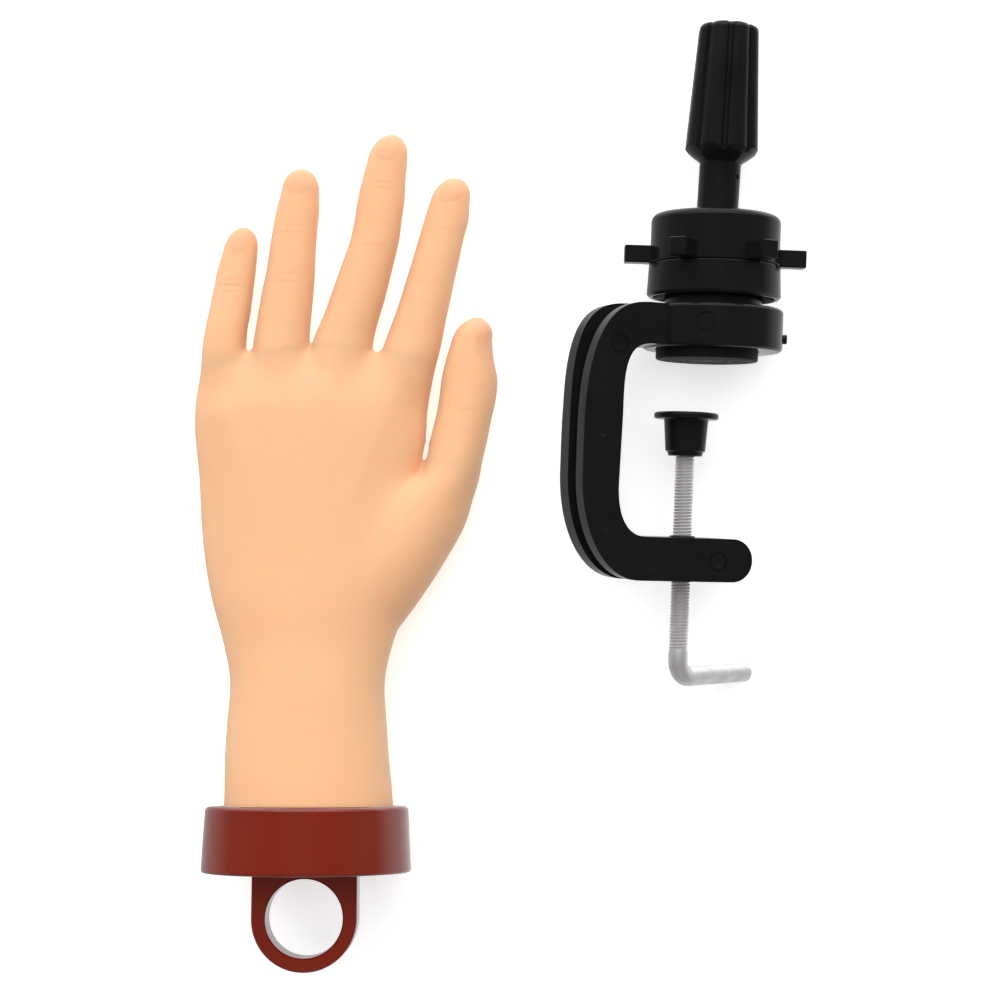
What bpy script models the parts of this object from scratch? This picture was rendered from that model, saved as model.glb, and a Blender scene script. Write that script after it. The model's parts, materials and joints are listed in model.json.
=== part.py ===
"""A nail practice hand and its table clamp, laid side by side on a flat surface.

The hand lies palm down. Its own frame starts at the middle of the cap's finger-side face, with +Y
toward the fingertips, +X toward the thumb and +Z out of the back of the hand. The clamp's frame lies
on the axis of its head, level with the lower arm, with +Y toward the cone, +X toward the open side
of the jaw and +Z out of its front. All lengths are in metres and all angles in degrees.
"""

import math

import bmesh
import bpy
from mathutils import Matrix, Vector

# Clearances and cuts shared by every fit
GAP = 0.0003
SOCKET_GAP = 0.00035
OVERRUN = 0.002
WELD = 0.000002

# Placement of the two items
HAND_PITCH = 8.2
CLAMP_OFFSET_X = 0.1243
CLAMP_OFFSET_Y = 0.0762
CLAMP_LEAN = 2.0
CLAMP_ROLL = 21.0

# Palm and wrist
PALM_LENGTH = 0.1546
PALM_WIDTH = 0.0755
PALM_DEPTH = 0.048
WRIST_END_GROWTH = 0.0005
SKIN_LIP = 0.0008

# Fingers
LITTLE_LENGTH = 0.0354
RING_LENGTH = 0.0513
MIDDLE_LENGTH = 0.0621
INDEX_LENGTH = 0.0516
THUMB_LENGTH = 0.0387
LITTLE_SPLAY = 8.6
RING_SPLAY = 5.8
MIDDLE_SPLAY = 12.0
INDEX_SPLAY = 13.8
THUMB_SPLAY = 8.5
FINGER_LIFT = 2.4
FINGER_RISE = 0.003
THUMB_RISE = 0.0015
FINGER_RAISE_RANGE = 20.0
FINGER_CURL_RANGE = 40.0
THUMB_CLOSE_RANGE = 0.0
THUMB_SPREAD_RANGE = 30.0
RANGE_RELIEF = 3.0

# Bending wires and their fan in the palm
WIRE_RADIUS = 0.0012
WIRE_STOP = 0.0006
HUB_RADIUS = 0.008
HUB_LENGTH = 0.006

# Wrist plug
PLUG_HALF_WIDTH = 0.021
PLUG_HALF_HEIGHT = 0.0165
PLUG_DISTAL_REACH = 0.022
PLUG_FILLET = 0.003

# Cap
CAP_RIM_RADIUS = 0.0315
CAP_BACK_RADIUS = 0.0325
CAP_LENGTH = 0.0202
CAP_RECESS_RADIUS = 0.0273
CAP_FLOOR = 0.0075
CAP_RIM_FILLET = 0.0015
CAP_BACK_FILLET = 0.0012

# Ring lug
LUG_WIDTH = 0.0325
LUG_THICKNESS = 0.0125
LUG_REACH = 0.034
LUG_HOLE_RADIUS = 0.0119
LUG_FILLET = 0.0012
FLANGE_MARGIN = 0.00275
FLANGE_THICKNESS = 0.003

# Cap screws
CAP_SCREW_OFFSET = 0.0128
CAP_SCREW_RADIUS = 0.00175
CAP_SCREW_HEAD_RADIUS = 0.0035
CAP_SCREW_HEAD_HEIGHT = 0.0024
CAP_SCREW_SUNK = 0.0003
CAP_SCREW_REACH = 0.015

# Clamp frame
JAW_HEIGHT = 0.066
FRAME_REACH = 0.0465
SPINE_WIDTH = 0.0121
ARM_HEIGHT = 0.0124
ARM_END_CENTRE = 0.0054
FRAME_DEPTH = 0.018
FRAME_FILLET = 0.0016
ARM_STEP = 0.0004
CHANNEL_DEPTH = 0.0045
FRONT_FLANGE = 0.0054
BACK_FLANGE = 0.0065
CHANNEL_END = 0.022
DISC_RADIUS = 0.022
DISC_THICKNESS = 0.0134
DISC_FILLET = 0.0015
BOSS_RADIUS = 0.01525
BOSS_HEIGHT = 0.0041
PAD_RADIUS = 0.016
PAD_OFFSET = 0.00165
PAD_PROUD = 0.0031
PAD_SEAT = 0.001
PAD_FILLET = 0.0006

# Pivot of the swivel cup
BOLT_RADIUS = 0.0025
BOLT_HEAD_RADIUS = 0.006
BOLT_HEAD_HEIGHT = 0.0011
BOLT_TAIL = 0.0006
NUT_ACROSS_FLATS = 0.008
NUT_THICKNESS = 0.0036

# Swivel cup
CUP_RADIUS = 0.021
CUP_TOP_RADIUS = 0.0206
CUP_HEIGHT = 0.0089
CUP_FLOOR = 0.0022
CUP_HOLLOW_WIDTH = 0.003
CUP_HOLLOW_DEPTH = 0.0014
CUP_NECK_RADIUS = 0.0175
CUP_NECK_HEIGHT = 0.0087

# Ball, stem and lock ring
BALL_RADIUS = 0.0115
STEM_RADIUS = 0.0049
STEM_REACH = 0.0408
RING_RADIUS = 0.0203
RING_HEIGHT = 0.0155
RING_FILLET = 0.003
RING_LIP_HEIGHT = 0.0066
RING_MOUTH_RADIUS = 0.013
RING_LUG_COUNT = 6
RING_LUG_WIDTH = 0.0055
RING_LUG_HEIGHT = 0.0055
RING_LUG_TIP = 0.0285
RING_LUG_LEVEL = 0.0026
RING_LUG_ROOT = 0.0012

# Fluted cone
CONE_LEAN = 1.8
CONE_LOBES = 8
NECK_RADIUS = 0.0065
NECK_HEIGHT = 0.0165
NECK_FLARE = 0.0055
CONE_BASE_RADIUS = 0.0115
CONE_TOP_RADIUS = 0.0094
CONE_LENGTH = 0.0395
LOBE_DEPTH = 0.0013
LOBE_OVERHANG = 0.0008
CONE_ROUNDING = 0.0022
PIN_RADIUS = 0.0015
PIN_HEIGHT = 0.0134
PIN_SUNK = 0.0002

# Screw, its insert and its foot
SCREW_OFFSET = 0.008
SCREW_RADIUS = 0.00305
INSERT_FLANGE_RADIUS = 0.006
INSERT_FLANGE_HEIGHT = 0.003
INSERT_SLEEVE_RADIUS = 0.0045
COLLAR_RADIUS = 0.004
COLLAR_HEIGHT = 0.0026
FOOT_LEVEL = 0.0327
FOOT_BODY_HEIGHT = 0.0114
FOOT_BOTTOM_RADIUS = 0.00575
FOOT_BODY_RADIUS = 0.00695
FOOT_FLANGE_RADIUS = 0.0101
FOOT_FLANGE_THICKNESS = 0.0022
FOOT_FILLET = 0.0008
FOOT_FACE_DEPTH = 0.0038
CLIP_LEVEL = 0.0033
CLIP_THICKNESS = 0.0008
CLIP_RADIUS = 0.0046
CLIP_NECK_RADIUS = 0.0022
HANDLE_LEVEL = 0.0365
HANDLE_LENGTH = 0.0364
HANDLE_BEND = 0.0055
HANDLE_DROOP = 47.5
HANDLE_CHAMFER = 0.0004

# Facets
FINE_STEPS = 40
ROUND_STEPS = 24
SMALL_STEPS = 12
FINGER_STEPS = 16
FILLET_STEPS = 2

# Outlines as shares of the palm: along PALM_LENGTH, left and right of PALM_WIDTH, rise and half
# depth of PALM_DEPTH
PALM_SHARES = (
    (0.000, -0.340, 0.354, 0.000, 0.500),
    (0.091, -0.340, 0.336, 0.000, 0.469),
    (0.253, -0.326, 0.317, 0.004, 0.406),
    (0.333, -0.359, 0.352, 0.000, 0.375),
    (0.417, -0.409, 0.437, 0.000, 0.371),
    (0.497, -0.442, 0.503, 0.000, 0.354),
    (0.581, -0.462, 0.517, 0.004, 0.333),
    (0.664, -0.473, 0.503, 0.016, 0.312),
    (0.748, -0.493, 0.481, 0.027, 0.288),
    (0.831, -0.503, 0.498, 0.043, 0.262),
    (0.893, -0.487, 0.521, 0.053, 0.240),
    (0.928, -0.470, 0.536, 0.058, 0.219),
)
# Thumb's ball: along, middle and half width, rise and half depth, up to the thumb's hinge
THUMB_BALL_SHARES = (
    (0.342, 0.159, 0.185, -0.035, 0.292),
    (0.417, 0.252, 0.208, -0.021, 0.333),
    (0.499, 0.358, 0.211, -0.015, 0.344),
    (0.582, 0.469, 0.188, -0.008, 0.323),
    (0.665, 0.551, 0.156, 0.010, 0.281),
    (0.706, 0.585, 0.143, 0.019, 0.255),
)
# Finger sections: along its length, width and depth beside those of its root
FINGER_SHARES = (
    (0.10, 0.98, 0.98),
    (0.22, 0.95, 0.94),
    (0.35, 0.90, 0.89),
    (0.47, 0.865, 0.85),
    (0.60, 0.84, 0.80),
    (0.73, 0.81, 0.75),
    (0.83, 0.74, 0.69),
    (0.91, 0.62, 0.58),
    (0.965, 0.44, 0.42),
    (0.99, 0.24, 0.22),
)
THUMB_SHARES = (
    (0.14, 0.995, 0.97),
    (0.30, 1.00, 0.92),
    (0.46, 1.00, 0.85),
    (0.60, 0.92, 0.77),
    (0.74, 0.80, 0.69),
    (0.86, 0.67, 0.59),
    (0.94, 0.50, 0.45),
    (0.98, 0.30, 0.28),
)
# Hinge places and root sizes: across PALM_WIDTH, along PALM_LENGTH, root width and root depth of
# the same width and of PALM_DEPTH, and the bow of the middle line of the finger's length
LITTLE_ROOT_SHARES = (-0.375, 0.971, 0.183, 0.292, 0.000)
RING_ROOT_SHARES = (-0.127, 0.990, 0.232, 0.354, 0.000)
MIDDLE_ROOT_SHARES = (0.156, 1.000, 0.241, 0.354, 0.037)
INDEX_ROOT_SHARES = (0.440, 0.977, 0.225, 0.354, 0.012)
THUMB_ROOT_SHARES = (0.6265, 0.757, 0.239, 0.430, 0.010)
WIRE_REACH_SHARE = 0.70
CHANNEL_REACH_SHARE = 0.72
STUB_REACH_SHARE = 1.9
STUB_NARROW_SHARE = 0.9

# Clamp frame corners: across FRAME_REACH and along JAW_HEIGHT, with the power of each curve
LOWER_OUTER_SHARES = (0.566, 0.408, 2.1)
UPPER_OUTER_SHARES = (0.548, 0.545, 2.6)
LOWER_INNER_SHARES = (0.516, 0.364, 2.5)
UPPER_INNER_SHARES = (
    (0.000, 0.463),
    (0.000, 0.620),
    (0.032, 0.847),
    (0.060, 0.930),
    (0.105, 0.968),
    (0.160, 0.986),
)
UPPER_INNER_START_SHARE = 0.500


def glossy(name, color, roughness, metallic=0.0):
    """A Principled material of one colour."""
    material = bpy.data.materials.new(name)
    material.use_nodes = True
    shader = material.node_tree.nodes["Principled BSDF"]
    shader.inputs["Base Color"].default_value = (*color, 1.0)
    shader.inputs["Roughness"].default_value = roughness
    shader.inputs["Metallic"].default_value = metallic
    material.diffuse_color = (*color, 1.0)
    return material


def frame_at(name, parent, place):
    """An empty that carries the pieces modelled in its frame."""
    empty = bpy.data.objects.new(name, None)
    bpy.context.scene.collection.objects.link(empty)
    empty.parent = parent
    empty.matrix_local = place
    return empty


def add_mesh(name, shape, parent):
    """An object holding the bmesh, in its parent's frame."""
    mesh = bpy.data.meshes.new(name)
    shape.to_mesh(mesh)
    shape.free()
    mesh.shade_smooth()
    mesh.set_sharp_from_angle(angle=math.radians(30.0))
    solid = bpy.data.objects.new(name, mesh)
    bpy.context.scene.collection.objects.link(solid)
    solid.parent = parent
    return solid


def add_piece(name, shape, parent, material):
    """A visible sub-part."""
    solid = add_mesh(name, shape, parent)
    solid.data.materials.append(material)
    return solid


def combine(solid, name, shape, operation, parent=None):
    """Cut the shape from a sub-part, or join it on, with a hidden helper."""
    helper = add_mesh(solid.name + "_" + name, shape, parent or solid.parent)
    helper.hide_render = True
    helper.display_type = "WIRE"
    change = solid.modifiers.new(name, "BOOLEAN")
    change.object = helper
    change.operation = operation
    change.solver = "EXACT"
    return helper


def cut(solid, name, shape, parent=None):
    """Take the shape away from a sub-part."""
    return combine(solid, name, shape, "DIFFERENCE", parent)


def join(solid, name, shape, parent=None):
    """Join the shape onto a sub-part."""
    return combine(solid, name, shape, "UNION", parent)


def loft(rings, start=None, end=None):
    """A closed surface through rings of points, each end closed by a point or by a flat face."""
    shape = bmesh.new()
    loops = [[shape.verts.new(point) for point in ring] for ring in rings]
    count = len(loops[0])
    for low, high in zip(loops, loops[1:]):
        for i in range(count):
            j = (i + 1) % count
            shape.faces.new((low[i], low[j], high[j], high[i]))
    for loop, pole in ((loops[0], start), (loops[-1], end)):
        if pole is None:
            shape.faces.new(loop)
            continue
        tip = shape.verts.new(pole)
        for i in range(count):
            shape.faces.new((loop[i], loop[(i + 1) % count], tip))
    bmesh.ops.recalc_face_normals(shape, faces=shape.faces)
    return shape


def oval(centre, half_width, half_depth, steps):
    """A ring of points round a Y axis, oval across X and Z."""
    turns = [math.tau * (i + 0.5) / steps for i in range(steps)]
    return [
        centre + Vector((half_width * math.cos(turn), 0.0, half_depth * math.sin(turn)))
        for turn in turns
    ]


def filleted(corners, steps=FILLET_STEPS):
    """Points of a line whose corners (u, v, radius) are rounded where the radius isn't zero."""
    points = []
    for index, (u, v, radius) in enumerate(corners):
        here = Vector((u, v))
        if not radius:
            points.append(here)
            continue
        back = (Vector(corners[index - 1][:2]) - here).normalized()
        ahead = (Vector(corners[(index + 1) % len(corners)][:2]) - here).normalized()
        half = back.angle(ahead) / 2
        centre = here + (back + ahead).normalized() * radius / math.sin(half)
        reach = radius / math.tan(half)
        first = here + back * reach - centre
        last = here + ahead * reach - centre
        turns = [first.slerp(last, k / steps).normalized() for k in range(steps + 1)]
        points.extend(centre + turn * radius for turn in turns)
    return points


def turned(profile, steps, centre=(0.0, 0.0), closed=False):
    """A profile of (radius, height) points turned about the Y axis through the centre (X, Z)."""
    shape = bmesh.new()
    x, z = centre
    corners = [shape.verts.new((x + radius, height, z)) for radius, height in profile]
    pairs = list(zip(corners, corners[1:]))
    if closed:
        pairs.append((corners[-1], corners[0]))
    lines = [shape.edges.new(pair) for pair in pairs]
    bmesh.ops.spin(
        shape,
        geom=corners + lines,
        cent=(x, 0.0, z),
        axis=(0.0, 1.0, 0.0),
        angle=math.tau,
        steps=steps,
        use_merge=True,
    )
    bmesh.ops.remove_doubles(shape, verts=shape.verts, dist=WELD)
    bmesh.ops.recalc_face_normals(shape, faces=shape.faces)
    return shape


def rod(start, end, radius, steps=SMALL_STEPS):
    """A round bar between two points."""
    span = end - start
    turn = span.to_track_quat("Z", "Y").to_matrix().to_4x4()
    shape = bmesh.new()
    bmesh.ops.create_cone(
        shape,
        cap_ends=True,
        segments=steps,
        radius1=radius,
        radius2=radius,
        depth=span.length,
        matrix=Matrix.Translation((start + end) / 2) @ turn,
    )
    return shape


def slab(low, high):
    """A box between two opposite corners."""
    low = Vector(low)
    high = Vector(high)
    shape = bmesh.new()
    bmesh.ops.create_cube(shape, size=1.0)
    bmesh.ops.scale(shape, vec=high - low, verts=shape.verts)
    bmesh.ops.translate(shape, vec=(low + high) / 2, verts=shape.verts)
    return shape


def plate(outline, low, high, fillet=0.0):
    """An outline of (X, Y) points extruded along Z, with its front and back edges rounded."""
    shape = bmesh.new()
    face = shape.faces.new([shape.verts.new((u, v, low)) for u, v in outline])
    extruded = bmesh.ops.extrude_face_region(shape, geom=[face])["geom"]
    moved = [item for item in extruded if isinstance(item, bmesh.types.BMVert)]
    bmesh.ops.translate(shape, vec=(0.0, 0.0, high - low), verts=moved)
    bmesh.ops.recalc_face_normals(shape, faces=shape.faces)
    if fillet:
        rims = [edge for edge in shape.edges if edge.verts[0].co.z == edge.verts[1].co.z]
        bmesh.ops.bevel(
            shape, geom=rims, offset=fillet, segments=FILLET_STEPS, profile=0.5, affect="EDGES"
        )
    return shape


class Finger:
    """One finger: where it bends, how large it is and how far it moves."""

    def __init__(self, name, shares, length, splay, rise, upright, back_range, front_range):
        across, along, width, depth, bow = shares
        self.name = name
        self.root = Vector((across * PALM_WIDTH, along * PALM_LENGTH, rise))
        self.half_width = width * PALM_WIDTH / 2
        self.half_depth = depth * PALM_DEPTH / 2
        self.length = length
        self.bow = bow * length
        self.splay = splay
        self.upright = upright
        self.back_range = back_range
        self.front_range = front_range
        self.section_shares = THUMB_SHARES if upright else FINGER_SHARES

    @property
    def place(self):
        """The finger's frame in the hand's, with the hinge at its origin and +Y to the tip."""
        turn = Matrix.Rotation(math.radians(-self.splay), 4, "Z")
        lift = Matrix.Rotation(math.radians(FINGER_LIFT), 4, "X")
        return Matrix.Translation(self.root) @ turn @ lift

    @property
    def root_radius(self):
        """Reach of the rounded root behind the hinge, the same all round the hinge axis."""
        return self.half_width if self.upright else self.half_depth

    def root_rings(self, growth=0.0):
        """Rings of the half ball behind the hinge, which turns in the palm's socket."""
        rings = []
        for degrees in (72.0, 54.0, 36.0, 18.0):
            angle = math.radians(degrees)
            centre = Vector((0.0, -(self.root_radius + growth) * math.sin(angle), 0.0))
            width = (self.half_width + growth) * math.cos(angle)
            depth = (self.half_depth + growth) * math.cos(angle)
            rings.append(oval(centre, width, depth, FINGER_STEPS))
        return rings

    def rings(self):
        """Rings of the whole finger, from behind the hinge to the tip."""
        rings = self.root_rings()
        rings.append(oval(Vector(), self.half_width, self.half_depth, FINGER_STEPS))
        for along, width, depth in self.section_shares:
            centre = Vector((4 * self.bow * along * (1 - along), along * self.length, 0.0))
            rings.append(oval(centre, width * self.half_width, depth * self.half_depth, FINGER_STEPS))
        return rings

    def solid(self):
        """The finger with its rounded root."""
        back = Vector((0.0, -self.root_radius, 0.0))
        return loft(self.rings(), back, Vector((0.0, self.length, 0.0)))

    def stub(self):
        """The knuckle that the palm carries up to the hinge."""
        width = self.half_width + SKIN_LIP
        depth = self.half_depth + SKIN_LIP
        far = Vector((0.0, -STUB_REACH_SHARE * self.root_radius, 0.0))
        narrow = STUB_NARROW_SHARE
        return loft(
            [
                oval(far, narrow * width, narrow * depth, FINGER_STEPS),
                oval(Vector(), width, depth, FINGER_STEPS),
            ]
        )

    def socket(self):
        """The hollow round the finger's root: the root itself, grown, and closed past the hinge."""
        turns = FINE_STEPS // 2
        shape = bmesh.new()
        bmesh.ops.create_uvsphere(shape, u_segments=turns, v_segments=turns // 2, radius=1.0)
        if not self.upright:
            spin = Matrix.Rotation(math.radians(90.0), 4, "Y")
            bmesh.ops.transform(shape, matrix=spin, verts=shape.verts)
        radius = self.root_radius + SOCKET_GAP
        width = radius if self.upright else self.half_width + SOCKET_GAP
        depth = self.half_depth + SOCKET_GAP if self.upright else radius
        bmesh.ops.scale(shape, vec=(width, radius, depth), verts=shape.verts)
        return shape

    def relief(self):
        """The room in front of the hinge that the finger sweeps from one limit to the other."""
        radius = 3 * max(self.half_width, self.half_depth)
        back = 90.0 + self.back_range + RANGE_RELIEF
        front = -90.0 - self.front_range - RANGE_RELIEF
        side = (self.half_depth if self.upright else self.half_width) + SKIN_LIP + GAP
        # The thumb lies beside the palm, so its room ends level with its own side
        limit = self.half_width + SKIN_LIP + GAP if self.upright else radius
        turns = [math.radians(front + (back - front) * k / 8) for k in range(9)]
        rim = [(radius * math.cos(turn), min(radius * math.sin(turn), limit)) for turn in turns]
        # The room starts behind the axis, clear of the pole of the socket and the knuckle's end face
        shape = plate([(-GAP, 0.0), *rim], -side, side)
        if self.upright:
            # The outline's X is the thumb's Y, and its Y is the palm's side of the thumb
            basis = Matrix(((0.0, -1.0, 0.0), (1.0, 0.0, 0.0), (0.0, 0.0, 1.0))).to_4x4()
        else:
            basis = Matrix(((0.0, 0.0, 1.0), (1.0, 0.0, 0.0), (0.0, 1.0, 0.0))).to_4x4()
        bmesh.ops.transform(shape, matrix=basis, verts=shape.verts)
        return shape

    def wire(self, radius, back, share):
        """A bar on the finger's chord, from behind the hinge to a share of its length."""
        return rod(Vector((0.0, -back, 0.0)), Vector((0.0, share * self.length, 0.0)), radius)


def fingers():
    """The five fingers, from the little finger to the thumb."""
    up, down = FINGER_RAISE_RANGE, FINGER_CURL_RANGE
    flat = (
        ("little_finger", LITTLE_ROOT_SHARES, LITTLE_LENGTH, LITTLE_SPLAY),
        ("ring_finger", RING_ROOT_SHARES, RING_LENGTH, RING_SPLAY),
        ("middle_finger", MIDDLE_ROOT_SHARES, MIDDLE_LENGTH, MIDDLE_SPLAY),
        ("index_finger", INDEX_ROOT_SHARES, INDEX_LENGTH, INDEX_SPLAY),
    )
    found = [Finger(*sizes, FINGER_RISE, False, up, down) for sizes in flat]
    found.append(
        Finger(
            "thumb",
            THUMB_ROOT_SHARES,
            THUMB_LENGTH,
            THUMB_SPLAY,
            THUMB_RISE,
            True,
            THUMB_CLOSE_RANGE,
            THUMB_SPREAD_RANGE,
        )
    )
    return found


CAP_RECESS = CAP_LENGTH - CAP_FLOOR
WRIST_END = -(CAP_RECESS - GAP)
HUB_START = PLUG_DISTAL_REACH + GAP
HUB_MIDDLE = Vector((0.0, HUB_START + HUB_LENGTH / 2, 0.0))


def palm_shape():
    """The palm and the wrist, up to the level of the webs."""
    rings = []
    _, left, right, _, depth = PALM_SHARES[0]
    middle = Vector(((left + right) / 2 * PALM_WIDTH, WRIST_END, 0.0))
    half_width = (right - left) / 2 * PALM_WIDTH + WRIST_END_GROWTH
    rings.append(oval(middle, half_width, depth * PALM_DEPTH + WRIST_END_GROWTH, ROUND_STEPS))
    for along, left, right, rise, depth in PALM_SHARES:
        x = (left + right) / 2 * PALM_WIDTH
        middle = Vector((x, along * PALM_LENGTH, rise * PALM_DEPTH))
        rings.append(oval(middle, (right - left) / 2 * PALM_WIDTH, depth * PALM_DEPTH, ROUND_STEPS))
    return loft(rings)


def thumb_ball_shape(thumb):
    """The ball of the thumb, a swelling that runs out to the thumb's hinge."""
    rings = []
    for along, middle, width, rise, depth in THUMB_BALL_SHARES:
        centre = Vector((middle * PALM_WIDTH, along * PALM_LENGTH, rise * PALM_DEPTH))
        rings.append(oval(centre, width * PALM_WIDTH, depth * PALM_DEPTH, FINGER_STEPS))
    width = thumb.half_width + SKIN_LIP
    rings.append(oval(thumb.root, width, thumb.half_depth + SKIN_LIP, FINGER_STEPS))
    return loft(rings)


def plug_shape(growth, front):
    """The wrist's rigid core, an oval bar with a rounded far end."""
    half_width = PLUG_HALF_WIDTH + growth
    half_height = PLUG_HALF_HEIGHT + growth
    far = PLUG_DISTAL_REACH + growth
    rings = [
        oval(Vector((0.0, front, 0.0)), half_width, half_height, ROUND_STEPS),
        oval(Vector((0.0, far - PLUG_FILLET, 0.0)), half_width, half_height, ROUND_STEPS),
        oval(
            Vector((0.0, far, 0.0)),
            half_width - PLUG_FILLET,
            half_height - PLUG_FILLET,
            ROUND_STEPS,
        ),
    ]
    return loft(rings)


def hub_profile(growth):
    """The round boss that joins the wires, as a profile along the hand."""
    low = HUB_START - growth
    high = HUB_START + HUB_LENGTH + growth
    radius = HUB_RADIUS + growth
    return [(0.0, low), (radius, low), (radius, high), (0.0, high)]


def build_palm(hand, bends, skin, steel, core):
    """Palm skin, wrist plug and the fan of wires."""
    palm = add_piece("palm_skin", palm_shape(), hand, skin)
    join(palm, "thumb_ball", thumb_ball_shape(bends["thumb"][0]))
    for name, (finger, bend) in bends.items():
        if name != "thumb":
            join(palm, name + "_stub", finger.stub(), bend)
    for name, (finger, bend) in bends.items():
        cut(palm, name + "_relief", finger.relief(), bend)
        cut(palm, name + "_socket", finger.socket(), bend)
        cut(palm, name + "_channel", rod(HUB_MIDDLE, finger.root, WIRE_RADIUS + GAP))
    cut(palm, "plug_hole", plug_shape(GAP, WRIST_END - OVERRUN))
    cut(palm, "hub_hole", turned(hub_profile(GAP), ROUND_STEPS))
    # The narrow channels meet the round sockets in slivers that the exact solver leaves open
    for change in palm.modifiers:
        change.solver = "MANIFOLD"

    fan = add_piece("palm_armature", turned(hub_profile(0.0), SMALL_STEPS), hand, steel)
    for name, (finger, _) in bends.items():
        reach = max(finger.half_width, finger.half_depth) + SOCKET_GAP + WIRE_STOP
        direction = (finger.root - HUB_MIDDLE).normalized()
        join(fan, name + "_rod", rod(HUB_MIDDLE, finger.root - direction * reach, WIRE_RADIUS))

    plug = add_piece("wrist_plug", plug_shape(0.0, WRIST_END), hand, core)
    for side, sign in (("upper", 1), ("lower", -1)):
        low = Vector((0.0, WRIST_END - OVERRUN, sign * CAP_SCREW_OFFSET))
        high = Vector((0.0, CAP_SCREW_REACH + WRIST_END + GAP, sign * CAP_SCREW_OFFSET))
        cut(plug, side + "_pilot", rod(low, high, CAP_SCREW_RADIUS + GAP))


def build_fingers(bends, skin, steel):
    """Each finger's skin with the wire inside it."""
    for name, (finger, bend) in bends.items():
        solid = add_piece(name, finger.solid(), bend, skin)
        back = finger.root_radius
        cut(solid, "channel", finger.wire(WIRE_RADIUS + GAP, back + OVERRUN, CHANNEL_REACH_SHARE))
        wire = finger.wire(WIRE_RADIUS, back - GAP, WIRE_REACH_SHARE)
        add_piece(name.replace("_finger", "") + "_wire", wire, bend, steel)


def build_cap(hand, gloss, steel):
    """Cap, ring lug and the two screws between cap and plug."""
    profile = filleted(
        [
            (0.0, -CAP_RECESS, 0.0),
            (CAP_RECESS_RADIUS, -CAP_RECESS, 0.0),
            (CAP_RECESS_RADIUS, 0.0, 0.0),
            (CAP_RIM_RADIUS, 0.0, CAP_RIM_FILLET),
            (CAP_BACK_RADIUS, -CAP_LENGTH, CAP_BACK_FILLET),
            (0.0, -CAP_LENGTH, 0.0),
        ]
    )
    cap = add_piece("base_cap", turned(profile, FINE_STEPS), hand, gloss)
    half_flange = LUG_WIDTH / 2 + FLANGE_MARGIN
    half_flange_height = LUG_THICKNESS / 2 + FLANGE_MARGIN
    pocket_floor = -(CAP_RECESS + FLANGE_THICKNESS + GAP)
    pocket = slab(
        (-half_flange - GAP, pocket_floor, -half_flange_height - GAP),
        (half_flange + GAP, OVERRUN - CAP_RECESS, half_flange_height + GAP),
    )
    cut(cap, "pocket", pocket)
    slot = slab(
        (-LUG_WIDTH / 2 - GAP, -CAP_LENGTH - OVERRUN, -LUG_THICKNESS / 2 - GAP),
        (LUG_WIDTH / 2 + GAP, pocket_floor + OVERRUN, LUG_THICKNESS / 2 + GAP),
    )
    cut(cap, "slot", slot)

    root = -(CAP_RECESS + FLANGE_THICKNESS)
    half = LUG_WIDTH / 2
    end = [
        (-half * math.cos(turn), -LUG_REACH - half * math.sin(turn))
        for turn in (math.pi * k / SMALL_STEPS for k in range(SMALL_STEPS + 1))
    ]
    outline = [(-half, root + FLANGE_THICKNESS / 2), *end, (half, root + FLANGE_THICKNESS / 2)]
    lug_shape = plate(outline, -LUG_THICKNESS / 2, LUG_THICKNESS / 2, LUG_FILLET)
    lug = add_piece("ring_lug", lug_shape, hand, gloss)
    flange = slab(
        (-half_flange, root, -half_flange_height), (half_flange, -CAP_RECESS, half_flange_height)
    )
    join(lug, "flange", flange)
    hole_end = Vector((0.0, -LUG_REACH, LUG_THICKNESS / 2 + OVERRUN))
    hole_start = Vector((0.0, -LUG_REACH, -LUG_THICKNESS / 2 - OVERRUN))
    cut(lug, "hole", rod(hole_start, hole_end, LUG_HOLE_RADIUS, ROUND_STEPS))

    head_face = -CAP_LENGTH + CAP_SCREW_SUNK
    head_seat = head_face + CAP_SCREW_HEAD_HEIGHT
    for side, sign in (("upper", 1), ("lower", -1)):
        z = sign * CAP_SCREW_OFFSET
        bore = filleted(
            [
                (0.0, -CAP_LENGTH - OVERRUN, 0.0),
                (CAP_SCREW_HEAD_RADIUS + GAP, -CAP_LENGTH - OVERRUN, 0.0),
                (CAP_SCREW_HEAD_RADIUS + GAP, head_seat + GAP, 0.0),
                (CAP_SCREW_RADIUS + GAP, head_seat + GAP, 0.0),
                (CAP_SCREW_RADIUS + GAP, OVERRUN - CAP_RECESS, 0.0),
                (0.0, OVERRUN - CAP_RECESS, 0.0),
            ]
        )
        cut(cap, side + "_screw_hole", turned(bore, SMALL_STEPS, (0.0, z)))
        screw = [
            (0.0, head_face),
            (CAP_SCREW_HEAD_RADIUS, head_face),
            (CAP_SCREW_HEAD_RADIUS, head_seat),
            (CAP_SCREW_RADIUS, head_seat),
            (CAP_SCREW_RADIUS, WRIST_END + CAP_SCREW_REACH),
            (0.0, WRIST_END + CAP_SCREW_REACH),
        ]
        add_piece("cap_screw_" + side, turned(screw, SMALL_STEPS, (0.0, z)), hand, steel)


def corner(centre_x, centre_y, reach_x, reach_y, power, steps=8):
    """Points of a quarter of a squared oval, from its end on the Y side to its end on the X side."""
    points = []
    for k in range(steps + 1):
        angle = math.pi / 2 * k / steps
        across = math.sin(angle) ** (2 / power)
        along = math.cos(angle) ** (2 / power)
        points.append((centre_x + reach_x * across, centre_y + reach_y * along))
    return points


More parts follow.
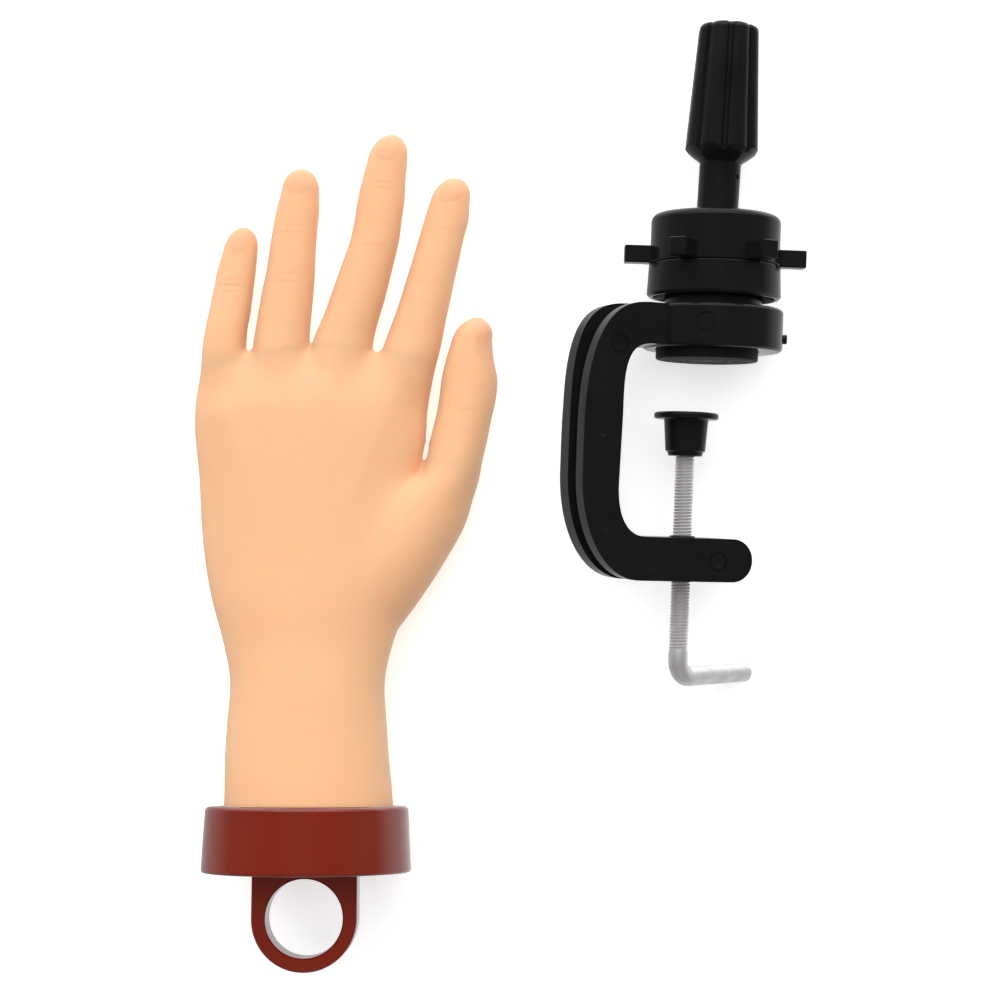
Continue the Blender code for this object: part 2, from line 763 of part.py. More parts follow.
def outer_path():
    """The outer edge of the frame, from the lower arm round the spine to the head disc."""
    across, along, power = LOWER_OUTER_SHARES
    x, y = -across * FRAME_REACH, along * JAW_HEIGHT
    lower = corner(x, y, -(FRAME_REACH + x), -(y + ARM_HEIGHT / 2), power)
    across, along, power = UPPER_OUTER_SHARES
    x, y = -across * FRAME_REACH, along * JAW_HEIGHT
    top = JAW_HEIGHT + DISC_THICKNESS - ARM_STEP
    upper = corner(x, y, -(FRAME_REACH + x), top - y, power)
    return lower + upper[::-1]


def inner_path():
    """The inner edge of the frame, from the head disc round the throat to the lower arm."""
    throat = FRAME_REACH - SPINE_WIDTH
    across, along, power = LOWER_INNER_SHARES
    x, y = -across * FRAME_REACH, along * JAW_HEIGHT
    lower = corner(x, y, -(throat + x), ARM_HEIGHT / 2 - y, power)
    under = JAW_HEIGHT + ARM_STEP
    upper = [(-UPPER_INNER_START_SHARE * FRAME_REACH, under)]
    for across, along in reversed(UPPER_INNER_SHARES):
        upper.append((across * FRAME_REACH - throat, along * JAW_HEIGHT))
    return upper + lower[::-1]


def channel_outline():
    """The band cut along the outer edge between the two flanges of the frame."""
    path = outer_path()
    top = JAW_HEIGHT + DISC_THICKNESS - ARM_STEP
    path = [(-CHANNEL_END, -ARM_HEIGHT / 2), *path, (-CHANNEL_END, top)]
    inside, outside = [], []
    for index, point in enumerate(path):
        here = Vector(point)
        before = Vector(path[max(index - 1, 0)])
        after = Vector(path[min(index + 1, len(path) - 1)])
        along = (after - before).normalized()
        outward = Vector((-along.y, along.x))
        inside.append(here - outward * CHANNEL_DEPTH)
        outside.append(here + outward * OVERRUN)
    return [*inside, *reversed(outside)]


BOSS_TOP = JAW_HEIGHT + DISC_THICKNESS + BOSS_HEIGHT
CUP_BOTTOM = BOSS_TOP + GAP
CUP_TOP = CUP_BOTTOM + CUP_HEIGHT
CUP_FLOOR_TOP = CUP_BOTTOM + CUP_FLOOR
BOLT_HEAD_TOP = CUP_FLOOR_TOP + GAP + BOLT_HEAD_HEIGHT
BALL_HEIGHT = BOLT_HEAD_TOP + GAP + BALL_RADIUS
RING_BOTTOM = CUP_TOP + GAP
RING_TOP = RING_BOTTOM + RING_HEIGHT
SEAT_RADIUS = BALL_RADIUS + GAP
PAD_SEAT_TOP = JAW_HEIGHT + PAD_SEAT
NUT_BOTTOM = PAD_SEAT_TOP + GAP
NUT_TOP = NUT_BOTTOM + NUT_THICKNESS
ARM_TOP = ARM_HEIGHT / 2
INSERT_SEAT = ARM_TOP - INSERT_FLANGE_HEIGHT - GAP
RING_THREAD_RADIUS = CUP_NECK_RADIUS + GAP


def build_frame(clamp, black, rubber, steel):
    """C-frame with its head disc, jaw pad and pivot."""
    half = ARM_HEIGHT / 2
    end = [
        (ARM_END_CENTRE + half * math.cos(turn), half * math.sin(turn))
        for turn in (math.pi / 2 - math.pi * k / SMALL_STEPS for k in range(SMALL_STEPS + 1))
    ]
    top = JAW_HEIGHT + DISC_THICKNESS - ARM_STEP
    outline = [*outer_path(), (0.0, top), (0.0, JAW_HEIGHT + ARM_STEP), *inner_path(), *end]
    body = plate(outline, -FRAME_DEPTH / 2, FRAME_DEPTH / 2, FRAME_FILLET)
    frame = add_piece("clamp_frame", body, clamp, black)
    low = BACK_FLANGE - FRAME_DEPTH / 2
    high = FRAME_DEPTH / 2 - FRONT_FLANGE
    cut(frame, "channel", plate(channel_outline(), low, high))
    head = filleted(
        [
            (0.0, JAW_HEIGHT, 0.0),
            (DISC_RADIUS, JAW_HEIGHT, DISC_FILLET),
            (DISC_RADIUS, JAW_HEIGHT + DISC_THICKNESS, DISC_FILLET),
            (BOSS_RADIUS, JAW_HEIGHT + DISC_THICKNESS, 0.0),
            (BOSS_RADIUS, BOSS_TOP, 0.0),
            (0.0, BOSS_TOP, 0.0),
        ]
    )
    join(frame, "head", turned(head, FINE_STEPS))
    seat_low = Vector((-PAD_OFFSET, JAW_HEIGHT - OVERRUN, 0.0))
    seat_high = Vector((-PAD_OFFSET, PAD_SEAT_TOP, 0.0))
    cut(frame, "pad_seat", rod(seat_low, seat_high, PAD_RADIUS + GAP, ROUND_STEPS))
    nut_corner = NUT_ACROSS_FLATS / math.sqrt(3)
    pivot = [
        (0.0, PAD_SEAT_TOP - OVERRUN),
        (nut_corner + GAP, PAD_SEAT_TOP - OVERRUN),
        (nut_corner + GAP, NUT_TOP + GAP),
        (BOLT_RADIUS + GAP, NUT_TOP + GAP),
        (BOLT_RADIUS + GAP, BOSS_TOP + OVERRUN),
        (0.0, BOSS_TOP + OVERRUN),
    ]
    cut(frame, "pivot_hole", turned(pivot, SMALL_STEPS))
    insert_hole = [
        (0.0, -ARM_TOP - OVERRUN),
        (INSERT_SLEEVE_RADIUS + GAP, -ARM_TOP - OVERRUN),
        (INSERT_SLEEVE_RADIUS + GAP, INSERT_SEAT),
        (INSERT_FLANGE_RADIUS + GAP, INSERT_SEAT),
        (INSERT_FLANGE_RADIUS + GAP, ARM_TOP + OVERRUN),
        (0.0, ARM_TOP + OVERRUN),
    ]
    cut(frame, "insert_hole", turned(insert_hole, ROUND_STEPS // 2, (-SCREW_OFFSET, 0.0)))

    pad = filleted(
        [
            (0.0, JAW_HEIGHT - PAD_PROUD, 0.0),
            (PAD_RADIUS, JAW_HEIGHT - PAD_PROUD, PAD_FILLET),
            (PAD_RADIUS, PAD_SEAT_TOP - GAP, 0.0),
            (0.0, PAD_SEAT_TOP - GAP, 0.0),
        ]
    )
    add_piece("jaw_pad", turned(pad, ROUND_STEPS, (-PAD_OFFSET, 0.0)), clamp, rubber)

    bolt = [
        (0.0, NUT_BOTTOM + BOLT_TAIL),
        (BOLT_RADIUS, NUT_BOTTOM + BOLT_TAIL),
        (BOLT_RADIUS, CUP_FLOOR_TOP + GAP),
        (BOLT_HEAD_RADIUS, CUP_FLOOR_TOP + GAP),
        (BOLT_HEAD_RADIUS, BOLT_HEAD_TOP),
        (0.0, BOLT_HEAD_TOP),
    ]
    add_piece("pivot_bolt", turned(bolt, SMALL_STEPS), clamp, steel)
    nut_shape = rod(Vector((0.0, NUT_BOTTOM, 0.0)), Vector((0.0, NUT_TOP, 0.0)), nut_corner, 6)
    nut = add_piece("pivot_nut", nut_shape, clamp, steel)
    thread_low = Vector((0.0, NUT_BOTTOM - OVERRUN, 0.0))
    thread_high = Vector((0.0, NUT_TOP + OVERRUN, 0.0))
    cut(nut, "thread", rod(thread_low, thread_high, BOLT_RADIUS + GAP))


def seat_arc(centre_height, start_height, end_height, steps=5):
    """Points on the ball's seat between two heights, as (radius, height)."""
    points = []
    for k in range(steps + 1):
        height = start_height + (end_height - start_height) * k / steps
        rise = height - centre_height
        points.append((math.sqrt(SEAT_RADIUS**2 - rise**2), height))
    return points


def build_head(cup_turn, ring_turn, black):
    """Swivel cup and lock ring, in frames on the head's axis at the ball's centre."""
    well = BOLT_HEAD_RADIUS + GAP
    well_top = BALL_HEIGHT - math.sqrt(SEAT_RADIUS**2 - well**2)
    neck_top = CUP_TOP + CUP_NECK_HEIGHT
    hollow_outer = CUP_RADIUS - CUP_HOLLOW_DEPTH
    hollow_inner = hollow_outer - CUP_HOLLOW_WIDTH
    cup = [
        (BOLT_RADIUS + GAP, CUP_BOTTOM),
        (hollow_inner, CUP_BOTTOM),
        (hollow_inner, CUP_BOTTOM + CUP_HOLLOW_DEPTH),
        (hollow_outer, CUP_BOTTOM + CUP_HOLLOW_DEPTH),
        (CUP_RADIUS, CUP_BOTTOM),
        (CUP_TOP_RADIUS, CUP_TOP),
        (CUP_NECK_RADIUS, CUP_TOP),
        (CUP_NECK_RADIUS, neck_top),
        *seat_arc(BALL_HEIGHT, neck_top, well_top),
        (well, CUP_FLOOR_TOP),
        (BOLT_RADIUS + GAP, CUP_FLOOR_TOP),
    ]
    at_ball = [(radius, height - BALL_HEIGHT) for radius, height in cup]
    add_piece("swivel_cup", turned(at_ball, FINE_STEPS, closed=True), cup_turn, black)

    lip = BALL_HEIGHT + RING_LIP_HEIGHT
    under = neck_top + GAP + GAP
    ring = filleted(
        [
            (RING_THREAD_RADIUS, RING_BOTTOM, 0.0),
            (RING_RADIUS, RING_BOTTOM, 0.0),
            (RING_RADIUS, RING_TOP, RING_FILLET),
            (RING_MOUTH_RADIUS, RING_TOP, 0.0),
            *((radius, height, 0.0) for radius, height in seat_arc(BALL_HEIGHT, lip, under)),
            (RING_THREAD_RADIUS, under, 0.0),
        ],
        FILLET_STEPS + 1,
    )
    at_ball = [(radius, height - BALL_HEIGHT) for radius, height in ring]
    lock = add_piece("lock_ring", turned(at_ball, FINE_STEPS, closed=True), ring_turn, black)
    low = RING_BOTTOM - BALL_HEIGHT + RING_LUG_LEVEL - RING_LUG_HEIGHT / 2
    lugs = bmesh.new()
    for index in range(RING_LUG_COUNT):
        turn = math.tau * index / RING_LUG_COUNT - math.radians(CLAMP_ROLL)
        shape = slab(
            (RING_RADIUS - RING_LUG_ROOT, low, -RING_LUG_WIDTH / 2),
            (RING_LUG_TIP, low + RING_LUG_HEIGHT, RING_LUG_WIDTH / 2),
        )
        bmesh.ops.rotate(shape, cent=Vector(), matrix=Matrix.Rotation(turn, 3, "Y"), verts=shape.verts)
        held = bpy.data.meshes.new("lug")
        shape.to_mesh(held)
        shape.free()
        lugs.from_mesh(held)
        bpy.data.meshes.remove(held)
    join(lock, "lugs", lugs)


def lobed(height, radius, depth):
    """A ring of rounded lobes with a groove between each two."""
    steps = CONE_LOBES * 6
    points = []
    for k in range(steps):
        turn = math.tau * k / steps
        reach = radius - depth * (1 - abs(math.cos(CONE_LOBES * turn / 2)))
        points.append(Vector((reach * math.cos(turn), height, reach * math.sin(turn))))
    return points


def build_cone(ball_tilt, black, steel):
    """Ball with its stem, the fluted cone on it and the cross pin."""
    meet = math.asin(STEM_RADIUS / BALL_RADIUS)
    arc = [math.pi - (math.pi - meet) * k / 14 for k in range(15)]
    profile = [(BALL_RADIUS * math.sin(turn), BALL_RADIUS * math.cos(turn)) for turn in arc]
    profile += [(STEM_RADIUS, STEM_REACH), (0.0, STEM_REACH)]
    profile[0] = (0.0, -BALL_RADIUS)
    ball = add_piece("ball_stem", turned(profile, ROUND_STEPS), ball_tilt, black)

    neck_bottom = RING_TOP - BALL_HEIGHT + GAP
    neck_top = neck_bottom + NECK_HEIGHT
    base = neck_top + NECK_FLARE
    top = base + CONE_LENGTH
    flare = CONE_BASE_RADIUS - LOBE_DEPTH - LOBE_OVERHANG
    slope = (CONE_TOP_RADIUS - CONE_BASE_RADIUS) / CONE_LENGTH
    rings = [
        lobed(neck_bottom, NECK_RADIUS, 0.0),
        lobed(neck_top, NECK_RADIUS, 0.0),
        lobed(base, flare, 0.0),
        lobed(base + GAP, CONE_BASE_RADIUS, LOBE_DEPTH),
        lobed(top - CONE_ROUNDING, CONE_TOP_RADIUS - slope * CONE_ROUNDING, LOBE_DEPTH),
        lobed(top - CONE_ROUNDING / 3, CONE_TOP_RADIUS - CONE_ROUNDING / 3, LOBE_DEPTH / 2),
        lobed(top, CONE_TOP_RADIUS - CONE_ROUNDING, 0.0),
    ]
    cone = add_piece("fluted_cone", loft(rings), ball_tilt, black)
    bore_low = Vector((0.0, neck_bottom - OVERRUN, 0.0))
    bore_high = Vector((0.0, STEM_REACH + GAP, 0.0))
    cut(cone, "bore", rod(bore_low, bore_high, STEM_RADIUS + GAP, ROUND_STEPS))
    room = bmesh.new()
    bmesh.ops.create_uvsphere(room, u_segments=ROUND_STEPS, v_segments=SMALL_STEPS, radius=SEAT_RADIUS)
    cut(cone, "ball_room", room)
    pin_height = neck_bottom + PIN_HEIGHT
    reach = NECK_RADIUS - PIN_SUNK
    past = NECK_RADIUS + OVERRUN
    for solid in (ball, cone):
        hole = rod(Vector((-past, pin_height, 0.0)), Vector((past, pin_height, 0.0)), PIN_RADIUS + GAP)
        cut(solid, "pin_hole", hole)
    pin = rod(Vector((-reach, pin_height, 0.0)), Vector((reach, pin_height, 0.0)), PIN_RADIUS)
    add_piece("neck_pin", pin, ball_tilt, steel)


def swept(path, radii, side):
    """A round bar of changing radius along a flat path whose plane is square to side."""
    rings = []
    for index, (point, radius) in enumerate(zip(path, radii)):
        before = path[max(index - 1, 0)]
        after = path[min(index + 1, len(path) - 1)]
        along = (after - before).normalized()
        across = along.cross(side)
        ring = []
        for k in range(SMALL_STEPS):
            turn = math.tau * k / SMALL_STEPS
            ring.append(point + across * radius * math.cos(turn) + side * radius * math.sin(turn))
        rings.append(ring)
    return loft(rings)


def build_screw(clamp, foot_slide, screw_turn, black, steel, dark):
    """Threaded insert, foot, clip and the bent screw, in frames on the screw's axis."""
    insert_bore = SCREW_RADIUS + GAP
    insert = [
        (insert_bore, -ARM_TOP + GAP),
        (INSERT_SLEEVE_RADIUS, -ARM_TOP + GAP),
        (INSERT_SLEEVE_RADIUS, INSERT_SEAT + GAP),
        (INSERT_FLANGE_RADIUS, INSERT_SEAT + GAP),
        (INSERT_FLANGE_RADIUS, ARM_TOP),
        (COLLAR_RADIUS, ARM_TOP),
        (COLLAR_RADIUS, ARM_TOP + COLLAR_HEIGHT),
        (insert_bore, ARM_TOP + COLLAR_HEIGHT),
    ]
    shape = turned(insert, ROUND_STEPS // 2, (-SCREW_OFFSET, 0.0), closed=True)
    add_piece("arm_insert", shape, clamp, dark)

    body_top = FOOT_LEVEL + FOOT_BODY_HEIGHT
    face = body_top + FOOT_FLANGE_THICKNESS
    bore_end = face - FOOT_FACE_DEPTH
    bore = SCREW_RADIUS + GAP
    groove = CLIP_RADIUS + GAP
    clip_low = FOOT_LEVEL + CLIP_LEVEL
    clip_high = clip_low + CLIP_THICKNESS
    foot = filleted(
        [
            (0.0, bore_end, 0.0),
            (bore, bore_end, 0.0),
            (bore, clip_high + GAP, 0.0),
            (groove, clip_high + GAP, 0.0),
            (groove, clip_low - GAP, 0.0),
            (bore, clip_low - GAP, 0.0),
            (bore, FOOT_LEVEL, 0.0),
            (FOOT_BOTTOM_RADIUS, FOOT_LEVEL, 0.0),
            (FOOT_BODY_RADIUS, body_top, 0.0),
            (FOOT_FLANGE_RADIUS, body_top, FOOT_FILLET),
            (FOOT_FLANGE_RADIUS, face, FOOT_FILLET),
            (0.0, face, 0.0),
        ]
    )
    add_piece("screw_foot", turned(foot, ROUND_STEPS), foot_slide, black)
    clip = [
        (CLIP_NECK_RADIUS + GAP, clip_low),
        (CLIP_RADIUS, clip_low),
        (CLIP_RADIUS, clip_high),
        (CLIP_NECK_RADIUS + GAP, clip_high),
    ]
    add_piece("foot_clip", turned(clip, SMALL_STEPS, closed=True), foot_slide, steel)

    beyond = math.radians(HANDLE_DROOP - CLAMP_ROLL)
    reach = Vector((math.cos(beyond), 0.0, -math.sin(beyond)))
    side = reach.cross(Vector((0.0, 1.0, 0.0)))
    neck_low = clip_low - GAP
    neck_high = clip_high + GAP
    axis = [
        (bore_end - GAP, SCREW_RADIUS - HANDLE_CHAMFER),
        (bore_end - GAP - HANDLE_CHAMFER, SCREW_RADIUS),
        (neck_high + WELD, SCREW_RADIUS),
        (neck_high, CLIP_NECK_RADIUS),
        (neck_low, CLIP_NECK_RADIUS),
        (neck_low - WELD, SCREW_RADIUS),
        (HANDLE_BEND - HANDLE_LEVEL, SCREW_RADIUS),
    ]
    path = [Vector((0.0, height, 0.0)) for height, _ in axis]
    radii = [radius for _, radius in axis]
    for k in range(1, 7):
        turn = math.pi / 2 * k / 6
        height = HANDLE_BEND - HANDLE_LEVEL - HANDLE_BEND * math.sin(turn)
        path.append(Vector((0.0, height, 0.0)) + reach * HANDLE_BEND * (1 - math.cos(turn)))
        radii.append(SCREW_RADIUS)
    level = Vector((0.0, -HANDLE_LEVEL, 0.0))
    path.append(level + reach * (HANDLE_LENGTH - HANDLE_CHAMFER))
    radii.append(SCREW_RADIUS)
    path.append(level + reach * HANDLE_LENGTH)
    radii.append(SCREW_RADIUS - HANDLE_CHAMFER)
    add_piece("clamp_screw", swept(path, radii, side), screw_turn, steel)


def centre_on_floor(layout):
    """Move everything so that the origin lies under its middle, at the level it stands on."""
    bpy.context.view_layer.update()
    graph = bpy.context.evaluated_depsgraph_get()
    points = []
    for solid in bpy.context.scene.objects:
        if solid.type == "MESH" and not solid.hide_render:
            seen = solid.evaluated_get(graph)
            points.extend(seen.matrix_world @ vertex.co for vertex in seen.to_mesh().vertices)
            seen.to_mesh_clear()
    lows = [min(point[axis] for point in points) for axis in range(3)]
    highs = [max(point[axis] for point in points) for axis in range(3)]
    layout.location = (-(lows[0] + highs[0]) / 2, -(lows[1] + highs[1]) / 2, -lows[2])
    bpy.context.view_layer.update()


def report(empties):
    """Print where each moving frame lies, for the joints."""
    for name, empty in empties.items():
        place = empty.matrix_world
        rows = [place.translation, *(place.col[axis].xyz for axis in range(3))]
        print(name, " ".join(f"({row.x:.6f} {row.y:.6f} {row.z:.6f})" for row in rows))


def main():
    """Clear the scene, then build the hand and the clamp."""
    for solid in list(bpy.data.objects):
        bpy.data.objects.remove(solid)

    skin = glossy("skin", (0.80, 0.52, 0.38), 0.45)
    gloss = glossy("cap_gloss", (0.20, 0.045, 0.035), 0.12)
    black = glossy("black_plastic", (0.018, 0.014, 0.014), 0.35)
    rubber = glossy("pad_rubber", (0.02, 0.018, 0.018), 0.6)
    dark = glossy("dark_insert", (0.03, 0.03, 0.03), 0.4)
    steel = glossy("zinc_steel", (0.55, 0.55, 0.56), 0.3, 1.0)
    core = glossy("core_plastic", (0.75, 0.73, 0.70), 0.5)

    layout = frame_at("layout", None, Matrix.Identity(4))
    pitch = math.radians(HAND_PITCH)
    height = Matrix.Translation((0.0, 0.0, CAP_RIM_RADIUS * math.cos(pitch)))
    hand = frame_at("hand", layout, height @ Matrix.Rotation(-pitch, 4, "X"))
    bends = {
        finger.name: (finger, frame_at(finger.name + "_bend", hand, finger.place))
        for finger in fingers()
    }
    build_palm(hand, bends, skin, steel, core)
    build_fingers(bends, skin, steel)
    build_cap(hand, gloss, steel)

    slant = math.pi / RING_LUG_COUNT
    rest_height = RING_LUG_TIP * math.cos(slant) + RING_LUG_WIDTH / 2 * math.sin(slant)
    place = Matrix.Translation((CLAMP_OFFSET_X, CLAMP_OFFSET_Y, rest_height))
    lean = Matrix.Rotation(math.radians(-CLAMP_LEAN), 4, "Z")
    roll = Matrix.Rotation(math.radians(CLAMP_ROLL), 4, "Y")
    clamp = frame_at("clamp", layout, place @ lean @ roll)
    at_ball = Matrix.Translation((0.0, BALL_HEIGHT, 0.0))
    cup_turn = frame_at("cup_turn", clamp, at_ball)
    ring_turn = frame_at("ring_turn", cup_turn, Matrix.Identity(4))
    cone_lean = Matrix.Rotation(math.radians(-CONE_LEAN), 4, "Z")
    ball_tilt = frame_at("ball_tilt", cup_turn, cone_lean)
    foot_slide = frame_at("foot_slide", clamp, Matrix.Translation((-SCREW_OFFSET, 0.0, 0.0)))
    screw_turn = frame_at("screw_turn", foot_slide, Matrix.Identity(4))
    build_frame(clamp, black, rubber, steel)
    build_head(cup_turn, ring_turn, black)
    build_cone(ball_tilt, black, steel)
    build_screw(clamp, foot_slide, screw_turn, black, steel, dark)

    centre_on_floor(layout)
    moving = {name: bend for name, (_, bend) in bends.items()}
    moving.update(
        hand=hand, clamp=clamp, cup=cup_turn, ring=ring_turn, ball=ball_tilt, foot=foot_slide
    )
    report(moving)


if __name__ == "__main__":
    main()
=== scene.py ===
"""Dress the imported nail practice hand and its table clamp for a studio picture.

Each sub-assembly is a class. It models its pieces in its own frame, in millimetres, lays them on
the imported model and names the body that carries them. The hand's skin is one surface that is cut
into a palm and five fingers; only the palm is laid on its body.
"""

from __future__ import annotations

import json
import logging
import math
from dataclasses import astuple, dataclass, field
from enum import Enum
from typing import Callable, Iterable, Iterator, Sequence

import bmesh
import bpy
import numpy as np
from mathutils import Matrix, Vector
from mathutils.kdtree import KDTree


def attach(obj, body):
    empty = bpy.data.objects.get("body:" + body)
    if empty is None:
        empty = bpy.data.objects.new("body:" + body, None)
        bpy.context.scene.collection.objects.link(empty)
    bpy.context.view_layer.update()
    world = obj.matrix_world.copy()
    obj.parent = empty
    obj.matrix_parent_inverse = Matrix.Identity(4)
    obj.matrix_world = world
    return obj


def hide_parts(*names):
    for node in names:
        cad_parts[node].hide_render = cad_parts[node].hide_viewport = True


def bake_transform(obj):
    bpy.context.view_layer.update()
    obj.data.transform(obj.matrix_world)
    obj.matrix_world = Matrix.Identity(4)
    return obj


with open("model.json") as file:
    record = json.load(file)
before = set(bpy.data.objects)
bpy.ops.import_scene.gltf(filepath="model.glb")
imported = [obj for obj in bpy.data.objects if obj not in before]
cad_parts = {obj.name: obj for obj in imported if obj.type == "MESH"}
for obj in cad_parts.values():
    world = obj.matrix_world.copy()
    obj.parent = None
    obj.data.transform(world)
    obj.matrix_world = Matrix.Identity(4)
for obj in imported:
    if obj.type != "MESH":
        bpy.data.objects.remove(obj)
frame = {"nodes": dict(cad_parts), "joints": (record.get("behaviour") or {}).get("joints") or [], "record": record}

LOG = logging.getLogger("practice_hand")
MM = 0.001
TAU = math.tau
ORIGIN = (0.0, 0.0, 0.0)
Y_AXIS = (0.0, 1.0, 0.0)
# Nearer points of a mesh become one, in millimetres
MERGE_REACH = 0.001
# Turns what was made about the Y axis to the Z axis
UPRIGHT = Matrix.Rotation(math.radians(90.0), 4, "X")

Shape = bmesh.types.BMesh
Edges = list[bmesh.types.BMEdge]
Item = bpy.types.Object
Material = bpy.types.Material
Tree = bpy.types.NodeTree
Socket = bpy.types.NodeSocket
Pair = tuple[float, float]
Triple = tuple[float, float, float]
Outline = list[Pair]
Row = np.ndarray
RingRule = Callable[[float], Vector]


class Slot(Enum):
    """Material slots of the record."""

    SKIN = "skin"
    CAP = "cap_gloss"
    BLACK = "black_plastic"
    PAD = "pad_rubber"
    DARK = "dark_insert"
    STEEL = "zinc_steel"
    CORE = "core_plastic"


class Body(Enum):
    """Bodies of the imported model."""

    HAND = "hand"
    LITTLE = "little"
    RING = "ring"
    MIDDLE = "middle"
    INDEX = "index"
    THUMB = "thumb"
    CLAMP = "clamp"
    CUP = "cup"
    LOCK = "lock"
    CONE = "cone"
    FOOT = "foot"
    SCREW = "screw"


class Cut(Enum):
    """What a tool does to a shape."""

    AWAY = "DIFFERENCE"
    ADD = "UNION"
    WITHIN = "INTERSECT"


# Frames of the two items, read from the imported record


def mount(name: str) -> tuple[Vector, Vector]:
    """Find a mount of the record.

    Args:
        name: The mount's name.

    Returns:
        Its place and its axis, in metres.
    """
    found = next(item for item in frame["record"]["mounts"] if item["name"] == name)
    return Vector(found["pos_m"]), Vector(found["axis"])


def hinge(name: str) -> Vector:
    """Find the place of a joint of the record, in metres."""
    found = next(item for item in frame["joints"] if item["name"] == name)
    return Vector(found["pos_m"])


def basis(origin: Vector, x: Vector, y: Vector) -> Matrix:
    """Make the matrix that lays a millimetre frame on the model.

    Args:
        origin: The frame's origin, in metres.
        x: Direction of its X axis.
        y: Direction of its Y axis.

    Returns:
        A matrix from millimetres in the frame to metres in the model.
    """
    z = x.cross(y).normalized()
    turn = Matrix((x.normalized(), y.normalized(), z)).transposed().to_4x4()
    return Matrix.Translation(origin) @ turn @ Matrix.Scale(MM, 4)


# Faces that the mounts of the record name, in the millimetres of their item's frame
RING_FACE = Vector((0.0, -48.0, 6.25))
FOOT_FACE = Vector((-8.0, 46.3, 0.0))


def hand_frame() -> Matrix:
    """Find the frame of the cap and the ring lug.

    Returns:
        The frame, with its origin in the cap's finger-side face and +Y to the fingers.
    """
    place, up = mount("ring_upper_face")
    x = Vector((1.0, 0.0, 0.0))
    turned = basis(Vector(), x, up.cross(x))
    return Matrix.Translation(place - turned @ RING_FACE) @ turned


def table_frame() -> Matrix:
    """Frame of the skin: level with the table, under the middle of the cap's finger-side face."""
    origin = hand_frame().translation
    return Matrix.Translation((origin.x, origin.y, 0.0)) @ Matrix.Scale(MM, 4)


def clamp_frame() -> Matrix:
    """Find the frame of the clamp.

    Returns:
        The frame, with its origin on the head's axis, +Y to the cone and +Z out of the front.
    """
    foot, y = mount("foot_face")
    pad, _ = mount("jaw_pad_face")
    span = pad - foot
    x = span - y * span.dot(y)
    turned = basis(Vector(), x, y)
    return Matrix.Translation(foot - turned @ FOOT_FACE) @ turned


def rolled(place: Matrix) -> float:
    """How far a frame lies rolled about its Y axis, in radians."""
    x = place.to_3x3() @ Vector((1.0, 0.0, 0.0))
    return math.asin(-x.z / x.length)


# Mesh tools, all in millimetres


def lathe(profile: Outline, steps: int, closed: bool = False) -> Shape:
    """Turn a profile about the Y axis.

    Args:
        profile: Points as (radius, height).
        steps: Number of facets round the axis.
        closed: Whether the last point joins the first, round a bore.

    Returns:
        The closed surface.
    """
    shape = bmesh.new()
    points = [shape.verts.new((radius, height, 0.0)) for radius, height in profile]
    pairs = list(zip(points, points[1:])) + ([(points[-1], points[0])] if closed else [])
    lines = [shape.edges.new(pair) for pair in pairs]
    around = {"cent": ORIGIN, "axis": Y_AXIS, "angle": TAU, "steps": steps, "use_merge": True}
    bmesh.ops.spin(shape, geom=points + lines, **around)
    bmesh.ops.remove_doubles(shape, verts=shape.verts, dist=MERGE_REACH)
    bmesh.ops.dissolve_degenerate(shape, edges=shape.edges, dist=MERGE_REACH)
    bmesh.ops.recalc_face_normals(shape, faces=shape.faces)
    return shape


def rounded(corners: Sequence[Triple], steps: int) -> Outline:
    """Round the corners of a line.

    Args:
        corners: Points with the radius of each corner, 0 for a sharp one.
        steps: Number of facets in each rounded corner.

    Returns:
        The points of the rounded line.
    """
    line: Outline = []
    for index, (u, v, radius) in enumerate(corners):
        here = Vector((u, v))
        if not radius:
            line.append((u, v))
            continue
        back = (Vector(corners[index - 1][:2]) - here).normalized()
        ahead = (Vector(corners[(index + 1) % len(corners)][:2]) - here).normalized()
        half = back.angle(ahead) / 2
        centre = here + (back + ahead).normalized() * radius / math.sin(half)
        reach = radius / math.tan(half)
        first = here + back * reach - centre
        last = here + ahead * reach - centre
        for k in range(steps + 1):
            point = centre + first.slerp(last, k / steps).normalized() * radius
            line.append((point.x, point.y))
    return line


def turned(corners: Sequence[Triple], steps: int, facets: int = 5, closed: bool = False) -> Shape:
    """Round the corners of a line and turn it about the Y axis.

    Args:
        corners: Points as (radius, height, rounding).
        steps: Number of facets round the axis.
        facets: Number of facets in each rounded corner.
        closed: Whether the last point joins the first, round a bore.

    Returns:
        The closed surface.
    """
    return lathe(rounded(corners, facets), steps, closed)


def prism(outline: Outline, low: float, high: float) -> Shape:
    """Extrude an outline of (X, Y) points along Z.

    Args:
        outline: The outline's points in order.
        low: Height of the back face.
        high: Height of the front face.

    Returns:
        The closed plate.
    """
    shape = bmesh.new()
    face = shape.faces.new([shape.verts.new((u, v, low)) for u, v in outline])
    grown = bmesh.ops.extrude_face_region(shape, geom=[face])["geom"]
    front = [item for item in grown if isinstance(item, bmesh.types.BMVert)]
    bmesh.ops.translate(shape, vec=(0.0, 0.0, high - low), verts=front)
    bmesh.ops.recalc_face_normals(shape, faces=shape.faces)
    return shape


def soften(shape: Shape, edges: Iterable, radius: float, segments: int = 4) -> None:
    """Round the named edges of a shape.

    Args:
        shape: The shape that is changed.
        edges: The edges to round.
        radius: Width of the rounding.
        segments: Number of facets across it.
    """
    bmesh.ops.bevel(
        shape,
        geom=list(edges),
        offset=radius,
        offset_type="OFFSET",
        segments=segments,
        profile=0.5,
        affect="EDGES",
        clamp_overlap=True,
        material=-1,
    )


def rim_edges(shape: Shape, height: float) -> Edges:
    """The edges of a plate that lie at one height along Z."""
    near = 1e-4
    return [edge for edge in shape.edges if all(abs(v.co.z - height) < near for v in edge.verts)]


